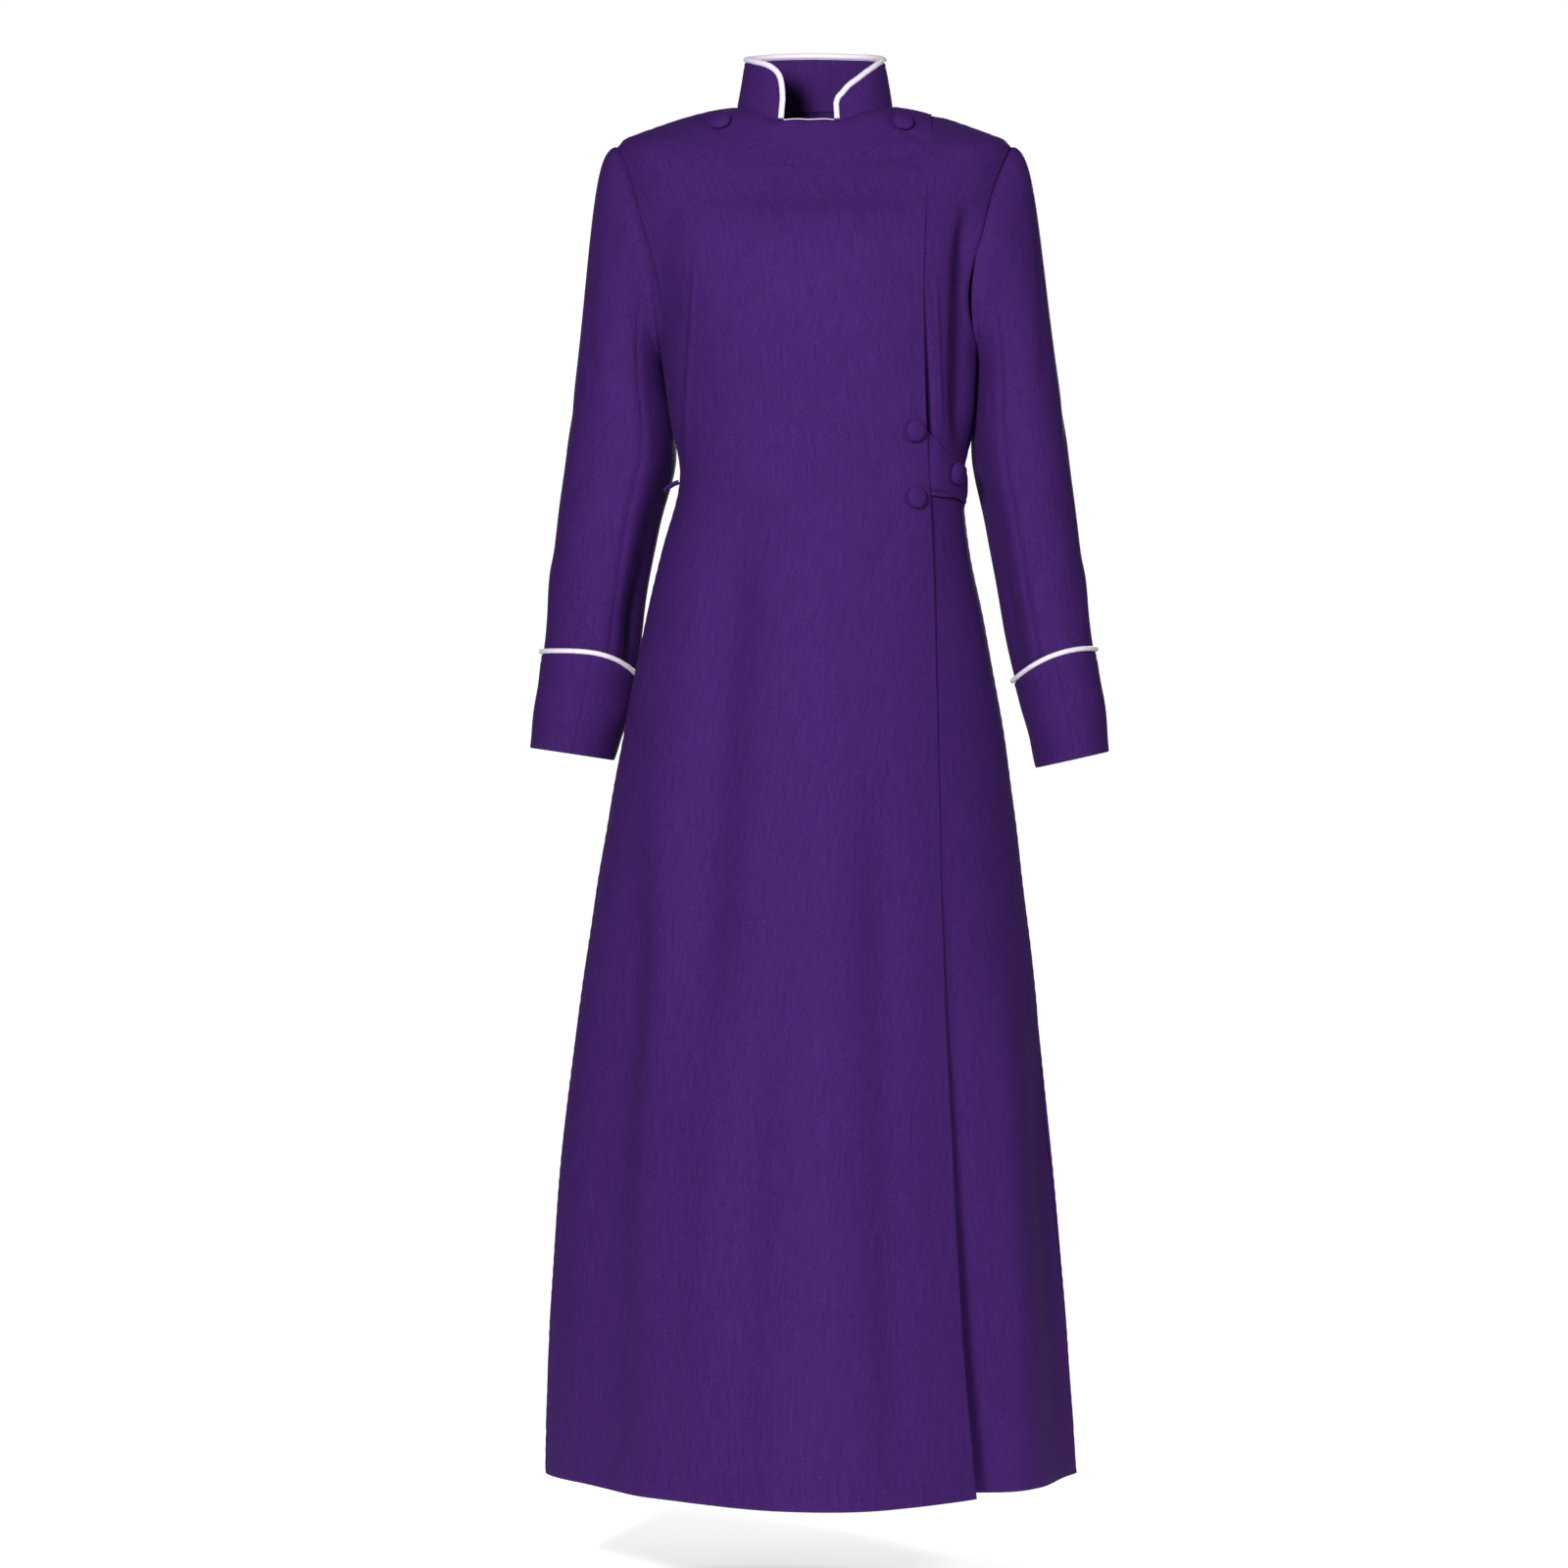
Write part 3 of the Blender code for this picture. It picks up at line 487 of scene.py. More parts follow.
def fold_depth(turn, station):
    """How far the skirt's folds stand out of the smooth body."""
    total = np.zeros(np.broadcast(turn, station).shape)
    for centre, drift, top, depth, half_width in FOLDS:
        away = np.degrees(turn) - centre - drift * station
        away = (away + 180.0) % 360.0 - 180.0
        fade = ease((top - station) / top)
        total += depth * fade * bump(away, half_width)
    return total


def edge_turn(station):
    """The turn of the overlap's free edge. Near the neck it runs along the shoulder seam."""
    rings, distances, _ = np.array(OVERLAP_EDGE).T
    half_width = rows_at(BODY_RINGS, station)[..., 2]
    return np.arcsin(np.minimum(np.interp(station, rings, distances) / half_width, 1.0))


def overlap_lift(turn, station):
    """How far the overlap stands off the body near its free edge."""
    rings, _, lifts = np.array(OVERLAP_EDGE).T
    nearness = ease(1.0 - (edge_turn(station) - turn) / EDGE_LIFT_TURN)
    return np.interp(station, rings, lifts) * nearness


def underlap_inset(turn, station):
    """The underlap lies one layer inside the overlap and comes out to the side seam."""
    edge = edge_turn(station)
    span = np.maximum(QUARTER - edge, EDGE_LIFT_TURN)
    return -LAYER_INSET * (1.0 - ease((turn - edge) / span))


def underlap_form(turn, station):
    """The underlap's inset, with the hollows beside the overlap's edge."""
    total = underlap_inset(turn, station)
    for first, last, depth, away, half_width in EDGE_HOLLOWS:
        fade = ease((last - station) / (last - first)) * ease((station - first) / 0.25)
        from_edge = np.degrees(turn - edge_turn(station)) - away
        total -= depth * fade * bump(from_edge, half_width)
    return total


def no_distance(turn, station):
    return np.zeros(np.broadcast(turn, station).shape)


def body_point(turn, station, out=0.0):
    """A point of the folded body, moved out along the surface's own direction."""
    distance = fold_depth(turn, station) + out
    return body_surface(turn, station) + body_normal(turn, station) * distance[..., None]


def side_step(station, armhole_turn):
    """How far in turn a panel's edge lies from the side at the armhole."""
    climb = np.clip((station - ARMHOLE_MIDDLE) / ARMHOLE_HALF, -1.0, 1.0)
    return armhole_turn * np.sqrt(1.0 - climb**2)


def body_rows():
    """Rings about one step apart at most, and closer together round the armholes."""
    fine = np.linspace(0.0, NECK_RING, 200 * NECK_RING + 1)
    turns = np.radians((0.0, 35.0, 70.0, 90.0, 125.0, 180.0))[:, None]
    places = body_surface(*np.broadcast_arrays(turns, fine))
    steps = np.linalg.norm(np.diff(places, axis=1), axis=-1).max(axis=0)
    length = np.concatenate(([0.0], np.cumsum(steps)))
    level = np.interp(np.arange(0.0, length[-1], ROW_STEP), length, fine)
    clear = 0.02
    level = level[(level < UNDERARM_RING - clear) | (level > SHOULDER_RING + clear)]
    climb = np.arange(-QUARTER, QUARTER + SMALL, ARMHOLE_ROW_STEP)
    armhole = ARMHOLE_MIDDLE + ARMHOLE_HALF * np.sin(climb)
    return np.sort(np.concatenate((level, armhole, [NECK_RING])))


def crease_relief(place):
    """The creases' depth at each place of the body."""
    total = np.zeros(place.shape[:-1])
    for face, start_x, start_z, end_x, end_z, bow, depth, half_width in CREASES:
        run = np.array((end_x - start_x, end_z - start_z))
        length = np.hypot(*run)
        across = place[..., 0] - start_x
        upward = place[..., 2] - start_z
        part = (across * run[0] + upward * run[1]) / length**2
        away = (across * run[1] - upward * run[0]) / length
        away = away - bow * 4.0 * part * (1.0 - part)
        fade = ease(part / 0.25) * ease((1.0 - part) / 0.25)
        total += depth * fade * bump(away, half_width) * (place[..., 1] * face > 0.0)
    return total


def drape_relief(place):
    """Soft, uneven waves of the cloth, a little deeper towards the hem."""
    x, y, z = np.moveaxis(place, -1, 0)
    angle = np.arctan2(x, -y)
    long_waves = np.sin(7.0 * angle + 1.9 * np.sin(3.1 * z) + 0.7)
    short_waves = np.sin(13.0 * angle + 2.3 * np.sin(4.3 * z + 1.0) + 2.1)
    slack = np.sin(23.0 * x + 17.0 * z + 2.0 * np.sin(9.0 * z)) * np.cos(29.0 * z - 11.0 * y)
    low = ease((-0.35 - z) / 0.9)
    return low * (LONG_WAVE * long_waves + SHORT_WAVE * short_waves) + SLACK_WAVE * slack


def seam_relief(distance, run):
    """A seam's groove, the roll of the turnings beside it, and faint puckers along it."""
    groove = -SEAM_DEPTH * bump(distance, SEAM_HALF_WIDTH)
    roll = SEAM_ROLL * bump(distance - SEAM_ROLL_DISTANCE, SEAM_ROLL_WIDTH)
    waves = np.sin(2.0 * math.pi * run / PUCKER_LENGTH + 2.0 * np.sin(9.0 * run))
    puckers = PUCKER_DEPTH * waves * bump(distance - 0.004, 0.006)
    return groove + roll + puckers


def shoulder_drop(climb, to_armhole, width):
    """How far the shoulder's end and the sleeve's head are rounded down at the armhole's top."""
    return SHOULDER_DROP * ease(climb) * bump(to_armhole, width)


def grid_lengths(place):
    """Distances along each row from its first column, and along each column from its first row."""
    across = np.linalg.norm(np.diff(place, axis=1), axis=-1)
    upward = np.linalg.norm(np.diff(place, axis=0), axis=-1)
    across = np.pad(np.cumsum(across, axis=1), ((0, 0), (1, 0)))
    upward = np.pad(np.cumsum(upward, axis=0), ((1, 0), (0, 0)))
    return across, upward


def grid_normals(place, closed):
    """The outward direction at each point of a grid whose rows run round and columns up."""
    if closed:
        along = np.roll(place, -1, axis=1) - np.roll(place, 1, axis=1)
    else:
        along = np.gradient(place, axis=1)
    upward = np.gradient(place, axis=0)
    return unit(np.cross(along, upward))


def link_piece(name, data, material, node):
    """A piece that stands for its solid and rides with it."""
    data.materials.append(material)
    obj = bpy.data.objects.new(name, data)
    bpy.context.scene.collection.objects.link(obj)
    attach(obj, "root")
    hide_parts(node)
    return obj


def shell(name, outer, thickness, worn, material, node, closed=False):
    """A thin wall of cloth: an outer grid, an inner one, and rims between them."""
    rows, columns, _ = outer.shape
    inner = outer - grid_normals(outer, closed) * thickness
    layer = rows * columns
    spans = columns if closed else columns - 1
    index = np.arange(layer).reshape(rows, columns)
    beside = np.roll(index, -1, axis=1)[:, :spans]
    here = index[:, :spans]
    quads = np.stack((here[:-1], beside[:-1], beside[1:], here[1:]), -1).reshape(-1, 4)
    back = quads[:, ::-1] + layer
    rims = [
        np.stack((beside[0], here[0], here[0] + layer, beside[0] + layer), -1),
        np.stack((here[-1], beside[-1], beside[-1] + layer, here[-1] + layer), -1),
    ]
    if not closed:
        first, last = index[:, 0], index[:, -1]
        rims.append(np.stack((first[:-1], first[1:], first[1:] + layer, first[:-1] + layer), -1))
        rims.append(np.stack((last[1:], last[:-1], last[:-1] + layer, last[1:] + layer), -1))
    faces = np.concatenate([quads, back, *rims])
    vertices = np.concatenate((outer.reshape(-1, 3), inner.reshape(-1, 3)))
    mesh = bpy.data.meshes.new(name)
    mesh.from_pydata(vertices.tolist(), [], faces.tolist())
    across, upward = grid_lengths(outer)
    middle = across[:, across.shape[1] // 2][:, None]
    weave = np.stack((across - middle, upward), -1).reshape(-1, 2)
    weave = np.concatenate((weave, weave))
    layer_map = mesh.uv_layers.new(name="weave")
    corners = np.empty(len(mesh.loops), np.int32)
    mesh.loops.foreach_get("vertex_index", corners)
    layer_map.data.foreach_set("uv", weave[corners].astype(np.float32).ravel())
    wear = mesh.attributes.new("wear", "FLOAT", "POINT")
    wear.data.foreach_set("value", np.tile(worn.reshape(-1), 2).astype(np.float32))
    mesh.shade_smooth()
    mesh.set_sharp_from_angle(angle=math.radians(60.0))
    return link_piece(name, mesh, material, node)


def spread(first, last, spans, border_first, border_last, width):
    """Turns from one edge to the other on each row, with a narrow border at a free edge."""
    share = np.linspace(0.0, 1.0, spans + 1)[None, :]
    turn = first[:, None] + share * (last - first)[:, None]
    border = (EDGE_BORDER / width)[:, None]
    if border_first:
        turn = np.concatenate((turn[:, :1], turn[:, :1] + border, turn[:, 1:]), axis=1)
    if border_last:
        turn = np.concatenate((turn[:, :-1], turn[:, -1:] - border, turn[:, -1:]), axis=1)
    return turn


def body_panel(node, first, last, spans, out, free_edges, material):
    """One panel of the body, with its folds, creases, seams and hem."""
    rows = body_rows()
    width = rows_at(BODY_RINGS, rows)[:, 2]
    start, end = first(rows), last(rows)
    turn = spread(start, end, spans, free_edges[0], free_edges[1], width)
    station = np.broadcast_to(rows[:, None], turn.shape)
    place = body_point(turn, station, out(turn, station))
    across, upward = grid_lengths(place)
    levelling = ease(1.0 - upward / HEM_LEVELLING)
    place[..., 2] += (BODY_RINGS[0][0] - place[:1, :, 2]) * levelling
    to_last = across[:, -1:] - across
    relief = crease_relief(place) + drape_relief(place)
    worn = np.zeros(turn.shape)
    for distance, free in ((across, free_edges[0]), (to_last, free_edges[1])):
        if free:
            relief -= EDGE_ROUNDING * bump(distance, EDGE_BORDER / 2.0)
            worn += bump(distance, 0.0035)
        else:
            relief += seam_relief(distance, upward)
            worn += 0.35 * bump(distance - SEAM_ROLL_DISTANCE, SEAM_ROLL_WIDTH)
    to_neck = upward[-1:] - upward
    relief -= SEAM_DEPTH * bump(to_neck, SEAM_HALF_WIDTH)
    relief -= HEM_DEPTH * bump(upward - HEM_HEIGHT, HEM_LINE_WIDTH)
    relief -= EDGE_ROUNDING * bump(upward, EDGE_ROLL_WIDTH)
    worn += 0.8 * bump(upward, 0.006)
    place = place + body_normal(turn, station) * relief[..., None]
    climb = (station - ARMHOLE_MIDDLE) / ARMHOLE_HALF
    above, shares, reaches = np.array(SHOULDER_ROUNDING).T
    reach = np.interp(station - SHOULDER_RING, above, reaches)
    drop = shoulder_drop(climb, np.minimum(across, to_last), reach)
    place[..., 2] -= drop * np.interp(station - SHOULDER_RING, above, shares)
    return shell(f"{node}_cloth", place, CLOTH, np.clip(worn, 0.0, 1.0), material, node)


def left_front_seam(rows):
    return side_step(rows, FRONT_ARMHOLE_TURN) - QUARTER


def right_front_seam(rows):
    return QUARTER - side_step(rows, FRONT_ARMHOLE_TURN)


def right_back_seam(rows):
    return QUARTER + side_step(rows, BACK_ARMHOLE_TURN)


def overlap_edge(rows):
    return np.minimum(edge_turn(rows), right_front_seam(rows))


def lap_start(rows):
    return overlap_edge(rows) - UNDERLAP_TURN


def centre_back(rows):
    return np.full(rows.shape, math.pi)


def left_centre_back(rows):
    return -centre_back(rows)


def left_back_seam(rows):
    return -right_back_seam(rows)


def build_body(material):
    """The two fronts and the two backs.

    Columns: node, first edge, last edge, spans, distance out, whether each edge is free
    """
    panels = (
        ("front_overlap", left_front_seam, overlap_edge, 150, overlap_lift, (False, True)),
        ("front_underlap", lap_start, right_front_seam, 90, underlap_form, (True, False)),
        ("back_right", right_back_seam, centre_back, 110, no_distance, (False, False)),
        ("back_left", left_centre_back, left_back_seam, 110, no_distance, (False, False)),
    )
    return {panel[0]: body_panel(*panel, material) for panel in panels}


def sleeve_ring(side, turn, station):
    """A ring of the hanging sleeve. The turn is 0 at the front and a quarter at the outside."""
    columns = np.moveaxis(rows_at(SLEEVE_RINGS[side], station), -1, 0)
    height, inner, outer, middle_y, half_depth, tilt = columns
    across = np.sin(turn)
    x = 0.5 * (inner + outer) + 0.5 * (outer - inner) * across
    y = middle_y - half_depth * np.cos(turn)
    return np.stack((SIDE_SIGN[side] * x, y, height + tilt * across), -1)


def armhole_point(side, turn):
    """The armhole's loop on the body, by the sleeve's turn."""
    forward = np.cos(turn)
    reach = np.where(forward > 0.0, FRONT_ARMHOLE_TURN, BACK_ARMHOLE_TURN)
    body_turn = SIDE_SIGN[side] * (QUARTER - reach * forward)
    return body_surface(body_turn, ARMHOLE_MIDDLE + ARMHOLE_HALF * np.sin(turn))


def sleeve_surface(side, turn, station):
    """The sleeve from the armhole, at station -1, to the wrist."""
    top = np.zeros(np.shape(turn))
    share = np.clip(station + 1.0, 0.0, 1.0)[..., None]
    start = armhole_point(side, turn)
    end = sleeve_ring(side, turn, top)
    length = np.linalg.norm(end - start, axis=-1, keepdims=True)
    outward = np.array((SIDE_SIGN[side], 0.0, 0.0))
    upward = unit(end - sleeve_ring(side, turn, top + 0.2))
    leave = start + outward * length * CAP_START
    arrive = end + upward * length * CAP_END
    rest = 1.0 - share
    cap = rest**3 * start + 3 * rest**2 * share * leave + 3 * rest * share**2 * arrive + share**3 * end
    ring = sleeve_ring(side, turn, np.maximum(station, 0.0))
    return np.where(station[..., None] < 0.0, cap, ring)


def sleeve_normal(side, turn, station):
    """Outward from the sleeve, and square to the armhole's plane at the seam."""
    turn_step = math.radians(3.0)
    low = np.maximum(station - 0.05, SLEEVE_TOP)
    high = np.minimum(station + 0.05, CUFF_END)
    ahead = sleeve_surface(side, turn + turn_step, station)
    around = ahead - sleeve_surface(side, turn - turn_step, station)
    along = sleeve_surface(side, turn, high) - sleeve_surface(side, turn, low)
    normal = unit(np.cross(along, around)) * SIDE_SIGN[side]
    radial = np.stack((np.zeros(np.shape(turn)), -np.cos(turn), np.sin(turn)), -1)
    return np.where(station[..., None] < SLEEVE_TOP + SMALL, radial, normal)


def sleeve_relief(side, turn, station):
    """The sleeves' creases, with the turn read on a round arm of average size."""
    arm_radius, station_length = 0.052, 0.066
    total = np.zeros(turn.shape)
    for crease_side, *numbers in SLEEVE_CREASES:
        if crease_side != side:
            continue
        start_turn, start_station, end_turn, end_station, depth, half_width = numbers
        run = np.array((
            math.radians(end_turn - start_turn) * arm_radius,
            (end_station - start_station) * station_length,
        ))
        length = np.hypot(*run)
        around = np.degrees(turn) - start_turn
        around = np.radians((around + 180.0) % 360.0 - 180.0) * arm_radius
        down = (station - start_station) * station_length
        part = (around * run[0] + down * run[1]) / length**2
        away = (around * run[1] - down * run[0]) / length
        fade = ease(part / 0.35) * ease((1.0 - part) / 0.35)
        total += depth * fade * bump(away, half_width)
    ripple = np.sin(3.0 * turn + 2.2 * station) * np.sin(2.6 * station + turn)
    return total + SLEEVE_RIPPLE * ripple * ease(station + 0.8)


def sleeve_panel(node, side, first_turn, last_turn, material):
    """One part of a sleeve, with its creases and seams."""
    spans = round((last_turn - first_turn) / SLEEVE_COLUMN_STEP)
    turns = np.linspace(first_turn, last_turn, spans + 1)
    cap = np.linspace(SLEEVE_TOP, 0.0, 44)
    rows = np.concatenate((cap, np.linspace(0.0, SLEEVE_END, 84)[1:]))
    station, turn = np.meshgrid(rows, turns, indexing="ij")
    place = sleeve_surface(side, turn, station)
    normal = sleeve_normal(side, turn, station)
    across, downward = grid_lengths(place)
    relief = sleeve_relief(side, turn, station)
    worn = np.zeros(turn.shape)
    for distance in (across, across[:, -1:] - across):
        relief += seam_relief(distance, downward) * ease(downward / SLEEVE_SEAM_START)
        worn += 0.3 * bump(distance - SEAM_ROLL_DISTANCE, SEAM_ROLL_WIDTH)
    gathers = np.sin(2.0 * math.pi * across / GATHER_LENGTH)
    relief += GATHER_DEPTH * gathers * bump(downward - GATHER_DISTANCE, GATHER_WIDTH)
    relief += UNDERARM_ROLL * bump(downward - HEAD_DISTANCE, GATHER_WIDTH) * ease(-np.sin(turn))
    relief -= SEAM_DEPTH * bump(downward, SEAM_HALF_WIDTH)
    worn += 0.3 * bump(downward - HEAD_DISTANCE, HEAD_WEAR_WIDTH)
    place = place + normal * relief[..., None]
    place[..., 2] -= shoulder_drop(np.sin(turn), downward, HEAD_DROP_WIDTH)
    tucked = place[:1] - normal[:1] * SLEEVE_TUCK_DEPTH
    tucked[..., 0] -= SIDE_SIGN[side] * SLEEVE_TUCK
    place = np.concatenate((tucked, place))
    worn = np.concatenate((worn[:1], worn))
    if side == "right":
        place, worn = place[:, ::-1], worn[:, ::-1]
    return shell(f"{node}_cloth", place[::-1], CLOTH, worn[::-1], material, node)


def build_sleeves(material):
    """Each sleeve has an upper part outside and an under part next to the body."""
    pieces = {}
    for side in SLEEVE_RINGS:
        upper, under = f"sleeve_{side}_upper", f"sleeve_{side}_under"
        whole_turn = FRONT_SLEEVE_SEAM + 2.0 * math.pi
        pieces[upper] = sleeve_panel(upper, side, FRONT_SLEEVE_SEAM, BACK_SLEEVE_SEAM, material)
        pieces[under] = sleeve_panel(under, side, BACK_SLEEVE_SEAM, whole_turn, material)
    return pieces


def cuff_station(side, turn, raised):
    """Where on the sleeve the cuff's upper edge lies, raised by a distance."""
    outside, drop, lateness = CUFF_EDGE[side]
    height = outside - drop * ((1.0 - np.sin(turn)) / 2.0) ** lateness + raised
    stations = np.linspace(3.0, CUFF_END, 121)
    found = []
    for one_turn, one_height in zip(turn, height):
        heights = sleeve_ring(side, np.full(stations.shape, one_turn), stations)[:, 2]
        found.append(np.interp(-one_height, -heights, stations))
    return np.array(found)


def build_cuffs(cloth, piping):
    """A turned-back cuff round each wrist, with a cord of piping on its upper edge."""
    pieces = {}
    spans = 120
    turn = np.arange(spans) * 2.0 * math.pi / spans
    for side in SLEEVE_RINGS:
        top = cuff_station(side, turn, 0.0)
        share = np.concatenate(([0.0, 0.012], np.linspace(0.04, 0.97, 30), [0.988, 1.0]))[:, None]
        station = CUFF_END + share * (top - CUFF_END)
        turns = np.broadcast_to(turn, station.shape)
        sleeve = sleeve_surface(side, turns, station)
        normal = sleeve_normal(side, turns, station)
        _, upward = grid_lengths(sleeve)
        down = upward[-1:] - upward
        relief = CUFF_WAVE * np.sin(3.0 * turns + 9.0 * share) * np.sin(math.pi * share)
        relief -= EDGE_ROUNDING * (bump(upward, EDGE_ROLL_WIDTH) + bump(down, EDGE_ROLL_WIDTH))
        relief -= STITCH_DEPTH * bump(down - CUFF_STITCH_INSET, STITCH_WIDTH)
        place = sleeve + normal * (LAYER_GAP + CUFF_CLOTH + relief)[..., None]
        worn = np.clip(bump(upward, 0.004) + 0.6 * bump(down, 0.003), 0.0, 1.0)
        if side == "left":
            place, worn = place[:, ::-1], worn[:, ::-1]
        name = f"cuff_{side}"
        pieces[name] = shell(f"{name}_cloth", place, CUFF_CLOTH, worn, cloth, name, closed=True)
        above = cuff_station(side, turn, PIPING_GAP + CUFF_PIPING_RADIUS)
        path = sleeve_surface(side, turn, above)
        path += sleeve_normal(side, turn, above) * (LAYER_GAP + CUFF_PIPING_RADIUS)
        node = f"cuff_piping_{side}"
        pieces[node] = piping_cord(node, path, CUFF_PIPING_RADIUS, piping, closed=True)
    return pieces


def piping_cord(node, path, radius, material, closed=False):
    """A round cord in a bias-cut cover, a little uneven along its length."""
    curve = bpy.data.curves.new(f"{node}_cord", "CURVE")
    curve.dimensions = "3D"
    curve.bevel_depth = radius
    curve.bevel_resolution = 4
    curve.use_fill_caps = True
    spline = curve.splines.new("POLY")
    spline.points.add(len(path) - 1)
    for number, (point, place) in enumerate(zip(spline.points, path)):
        point.co = (*place, 1.0)
        point.radius = 1.0 + 0.035 * math.sin(1.7 * number) * math.sin(0.31 * number)
    spline.use_cyclic_u = closed
    return link_piece(f"{node}_cord", curve, material, node)


def neck_seam(turn):
    return body_surface(turn, np.full(np.shape(turn), float(NECK_RING)))


def collar_point(turn, height, out=0.0):
    """A point of the collar, which stands on the neck seam and leans in as it rises."""
    seam = neck_seam(turn)
    radial = unit(seam * np.array((1.0, 1.0, 0.0)))
    reach = out - COLLAR_LEAN * (height - seam[..., 2])
    point = seam + radial * reach[..., None]
    point[..., 2] = height
    return point


def smooth_row(values, parts):
    """More values between a row's own, on a smooth curve through them."""
    stations = np.linspace(0.0, len(values) - 1, parts * (len(values) - 1) + 1)
    return rows_at(np.array(values)[:, None], stations)[:, 0]


def collar_edge_path(away):
    """Points along the free edge, moved off the cloth by a distance."""
    degrees, heights = np.array(COLLAR_EDGE).T
    turn = np.radians(smooth_row(degrees, 6))
    height = smooth_row(heights, 6)
    foot = neck_seam(turn)[:, 2]
    turn = np.concatenate((turn[:1], turn, turn[-1:]))
    height = np.concatenate((foot[:1], height, foot[-1:]))
    radius = BODY_RINGS[NECK_RING][1]
    run = turn * radius
    along = unit(np.stack((np.gradient(run), np.gradient(height)), -1))
    turn = (run + along[:, 1] * away) / radius
    return collar_point(turn, height - along[:, 0] * away, -0.5 * COLLAR_CLOTH)


def build_collar(cloth, piping):
    """The standing collar, the piping on its free edge, and the edging of the open neckline."""
    degrees, heights = np.array(COLLAR_EDGE).T
    turn = np.radians(smooth_row(degrees, 8))
    top = smooth_row(heights, 8)
    foot = neck_seam(turn)[:, 2] - COLLAR_TUCK
    share = np.concatenate(([0.0, 0.02], np.linspace(0.05, 0.95, 20), [0.98, 1.0]))[:, None]
    height = foot + share * (top - foot)
    turns = np.broadcast_to(turn, height.shape)
    to_foot = share * (top - foot)
    to_top = (1.0 - share) * (top - foot)
    relief = -COLLAR_SEAM_DEPTH * bump(to_foot, COLLAR_SEAM_WIDTH)
    relief -= COLLAR_ROUNDING * bump(to_top, EDGE_ROLL_WIDTH)
    relief += COLLAR_WAVE * np.sin(9.0 * turns) * np.sin(math.pi * share)
    relief -= STITCH_DEPTH * bump(to_top - COLLAR_STITCH_INSET, STITCH_WIDTH)
    place = collar_point(turns, height, relief)
    worn = np.clip(0.7 * bump(to_top, 0.003) + 0.3 * bump(to_foot - 0.005, 0.003), 0.0, 1.0)
    pieces = {
        "collar": shell(
            "collar_cloth", place[:, ::-1], COLLAR_CLOTH, worn[:, ::-1], cloth, "collar"
        )
    }
    away = PIPING_GAP + COLLAR_PIPING_RADIUS
    path = collar_edge_path(away)
    pieces["collar_piping"] = piping_cord("collar_piping", path, COLLAR_PIPING_RADIUS, piping)
    turn = np.radians(np.linspace(*NECK_EDGING_TURNS, 30))
    height = neck_seam(turn)[:, 2] - 0.7 * SEAM_DEPTH
    path = collar_point(turn, height, -0.5 * CLOTH)
    pieces["neck_edging"] = piping_cord("neck_edging", path, NECK_EDGING_RADIUS, piping)
    return pieces


def station_at(height):
    """The ring at a height, below the chest, where every ring is level."""
    stations = np.linspace(0.0, UNDERARM_RING, 401)
    return np.interp(height, rows_at(BODY_RINGS, stations)[:, 0], stations)


def belt_base(turn, station):
    """How far out the cloth under the belt lies."""
    inset = underlap_inset(np.minimum(turn, QUARTER), station)
    return np.where(turn < QUARTER, inset, 0.0)


def tab_base(turn, station):
    """The tab lies on the underlap, and then on the half belt's end."""
    first, last = np.radians(TAB_RISE_TURNS)
    rise = BELT_CLOTH + BELT_GAP
    return belt_base(turn, station) + ease((turn - first) / (last - first)) * rise


def belt_strip(node, turns, base, material, lip=0.0):
    """A strip of the belt between two turns, on the cloth that the base function gives.

    A lip is a narrow fold that shows below the strip's lower edge.
    """
    first, last = turns
    spans = round((last - first) / 1.5)
    degrees = np.linspace(first, last, spans + 1)
    border = 0.4
    near_first, near_last = degrees[:1] + border, degrees[-1:] - border
    degrees = np.concatenate((degrees[:1], near_first, degrees[1:-1], near_last, degrees[-1:]))
    table = np.array(BELT_EDGES)
    lip = lip * ease((TAB_LIP_END - degrees) / TAB_LIP_FADE)
    lower = np.interp(degrees, table[:, 0], table[:, 1]) - lip
    upper = np.interp(degrees, table[:, 0], table[:, 2])
    share = np.concatenate(([0.0], np.linspace(0.012, 0.20, 14), np.linspace(0.23, 0.98, 24), [1.0]))
    share = share[:, None]
    station = station_at(lower + share * (upper - lower))
    turn = np.broadcast_to(np.radians(degrees), station.shape)
    place = body_point(turn, station, base(turn, station) + BELT_GAP + BELT_CLOTH)
    across, upward = grid_lengths(place)
    edges = (across, across[:, -1:] - across, upward, upward[-1:] - upward)
    relief = -BELT_ROLL * (bump(edges[2], BELT_ROLL_WIDTH) + bump(edges[3], BELT_ROLL_WIDTH))
    worn = np.zeros(turn.shape)
    for distance in edges:
        relief -= EDGE_ROUNDING * bump(distance, EDGE_ROLL_WIDTH)
        relief -= STITCH_DEPTH * bump(distance - BELT_STITCH_INSET, BELT_STITCH_WIDTH)
        worn += bump(distance, 0.0025)
    relief -= TAB_LIP_DEPTH * (lip > SMALL) * bump(upward - lip, 0.3 * lip + SMALL)
    place = place + body_normal(turn, station) * relief[..., None]
    return shell(f"{node}_cloth", place, BELT_CLOTH, np.clip(worn, 0.0, 1.0), material, node)


def build_belt(material):
    """The tab, the belt round the back, and the carrier at the left side."""
    return {
        "waist_tab": belt_strip("waist_tab", TAB_TURNS, tab_base, material, lip=TAB_LIP),
        "half_belt": belt_strip("half_belt", HALF_BELT_TURNS, belt_base, material),
        "belt_loop": build_belt_loop(material),
    }


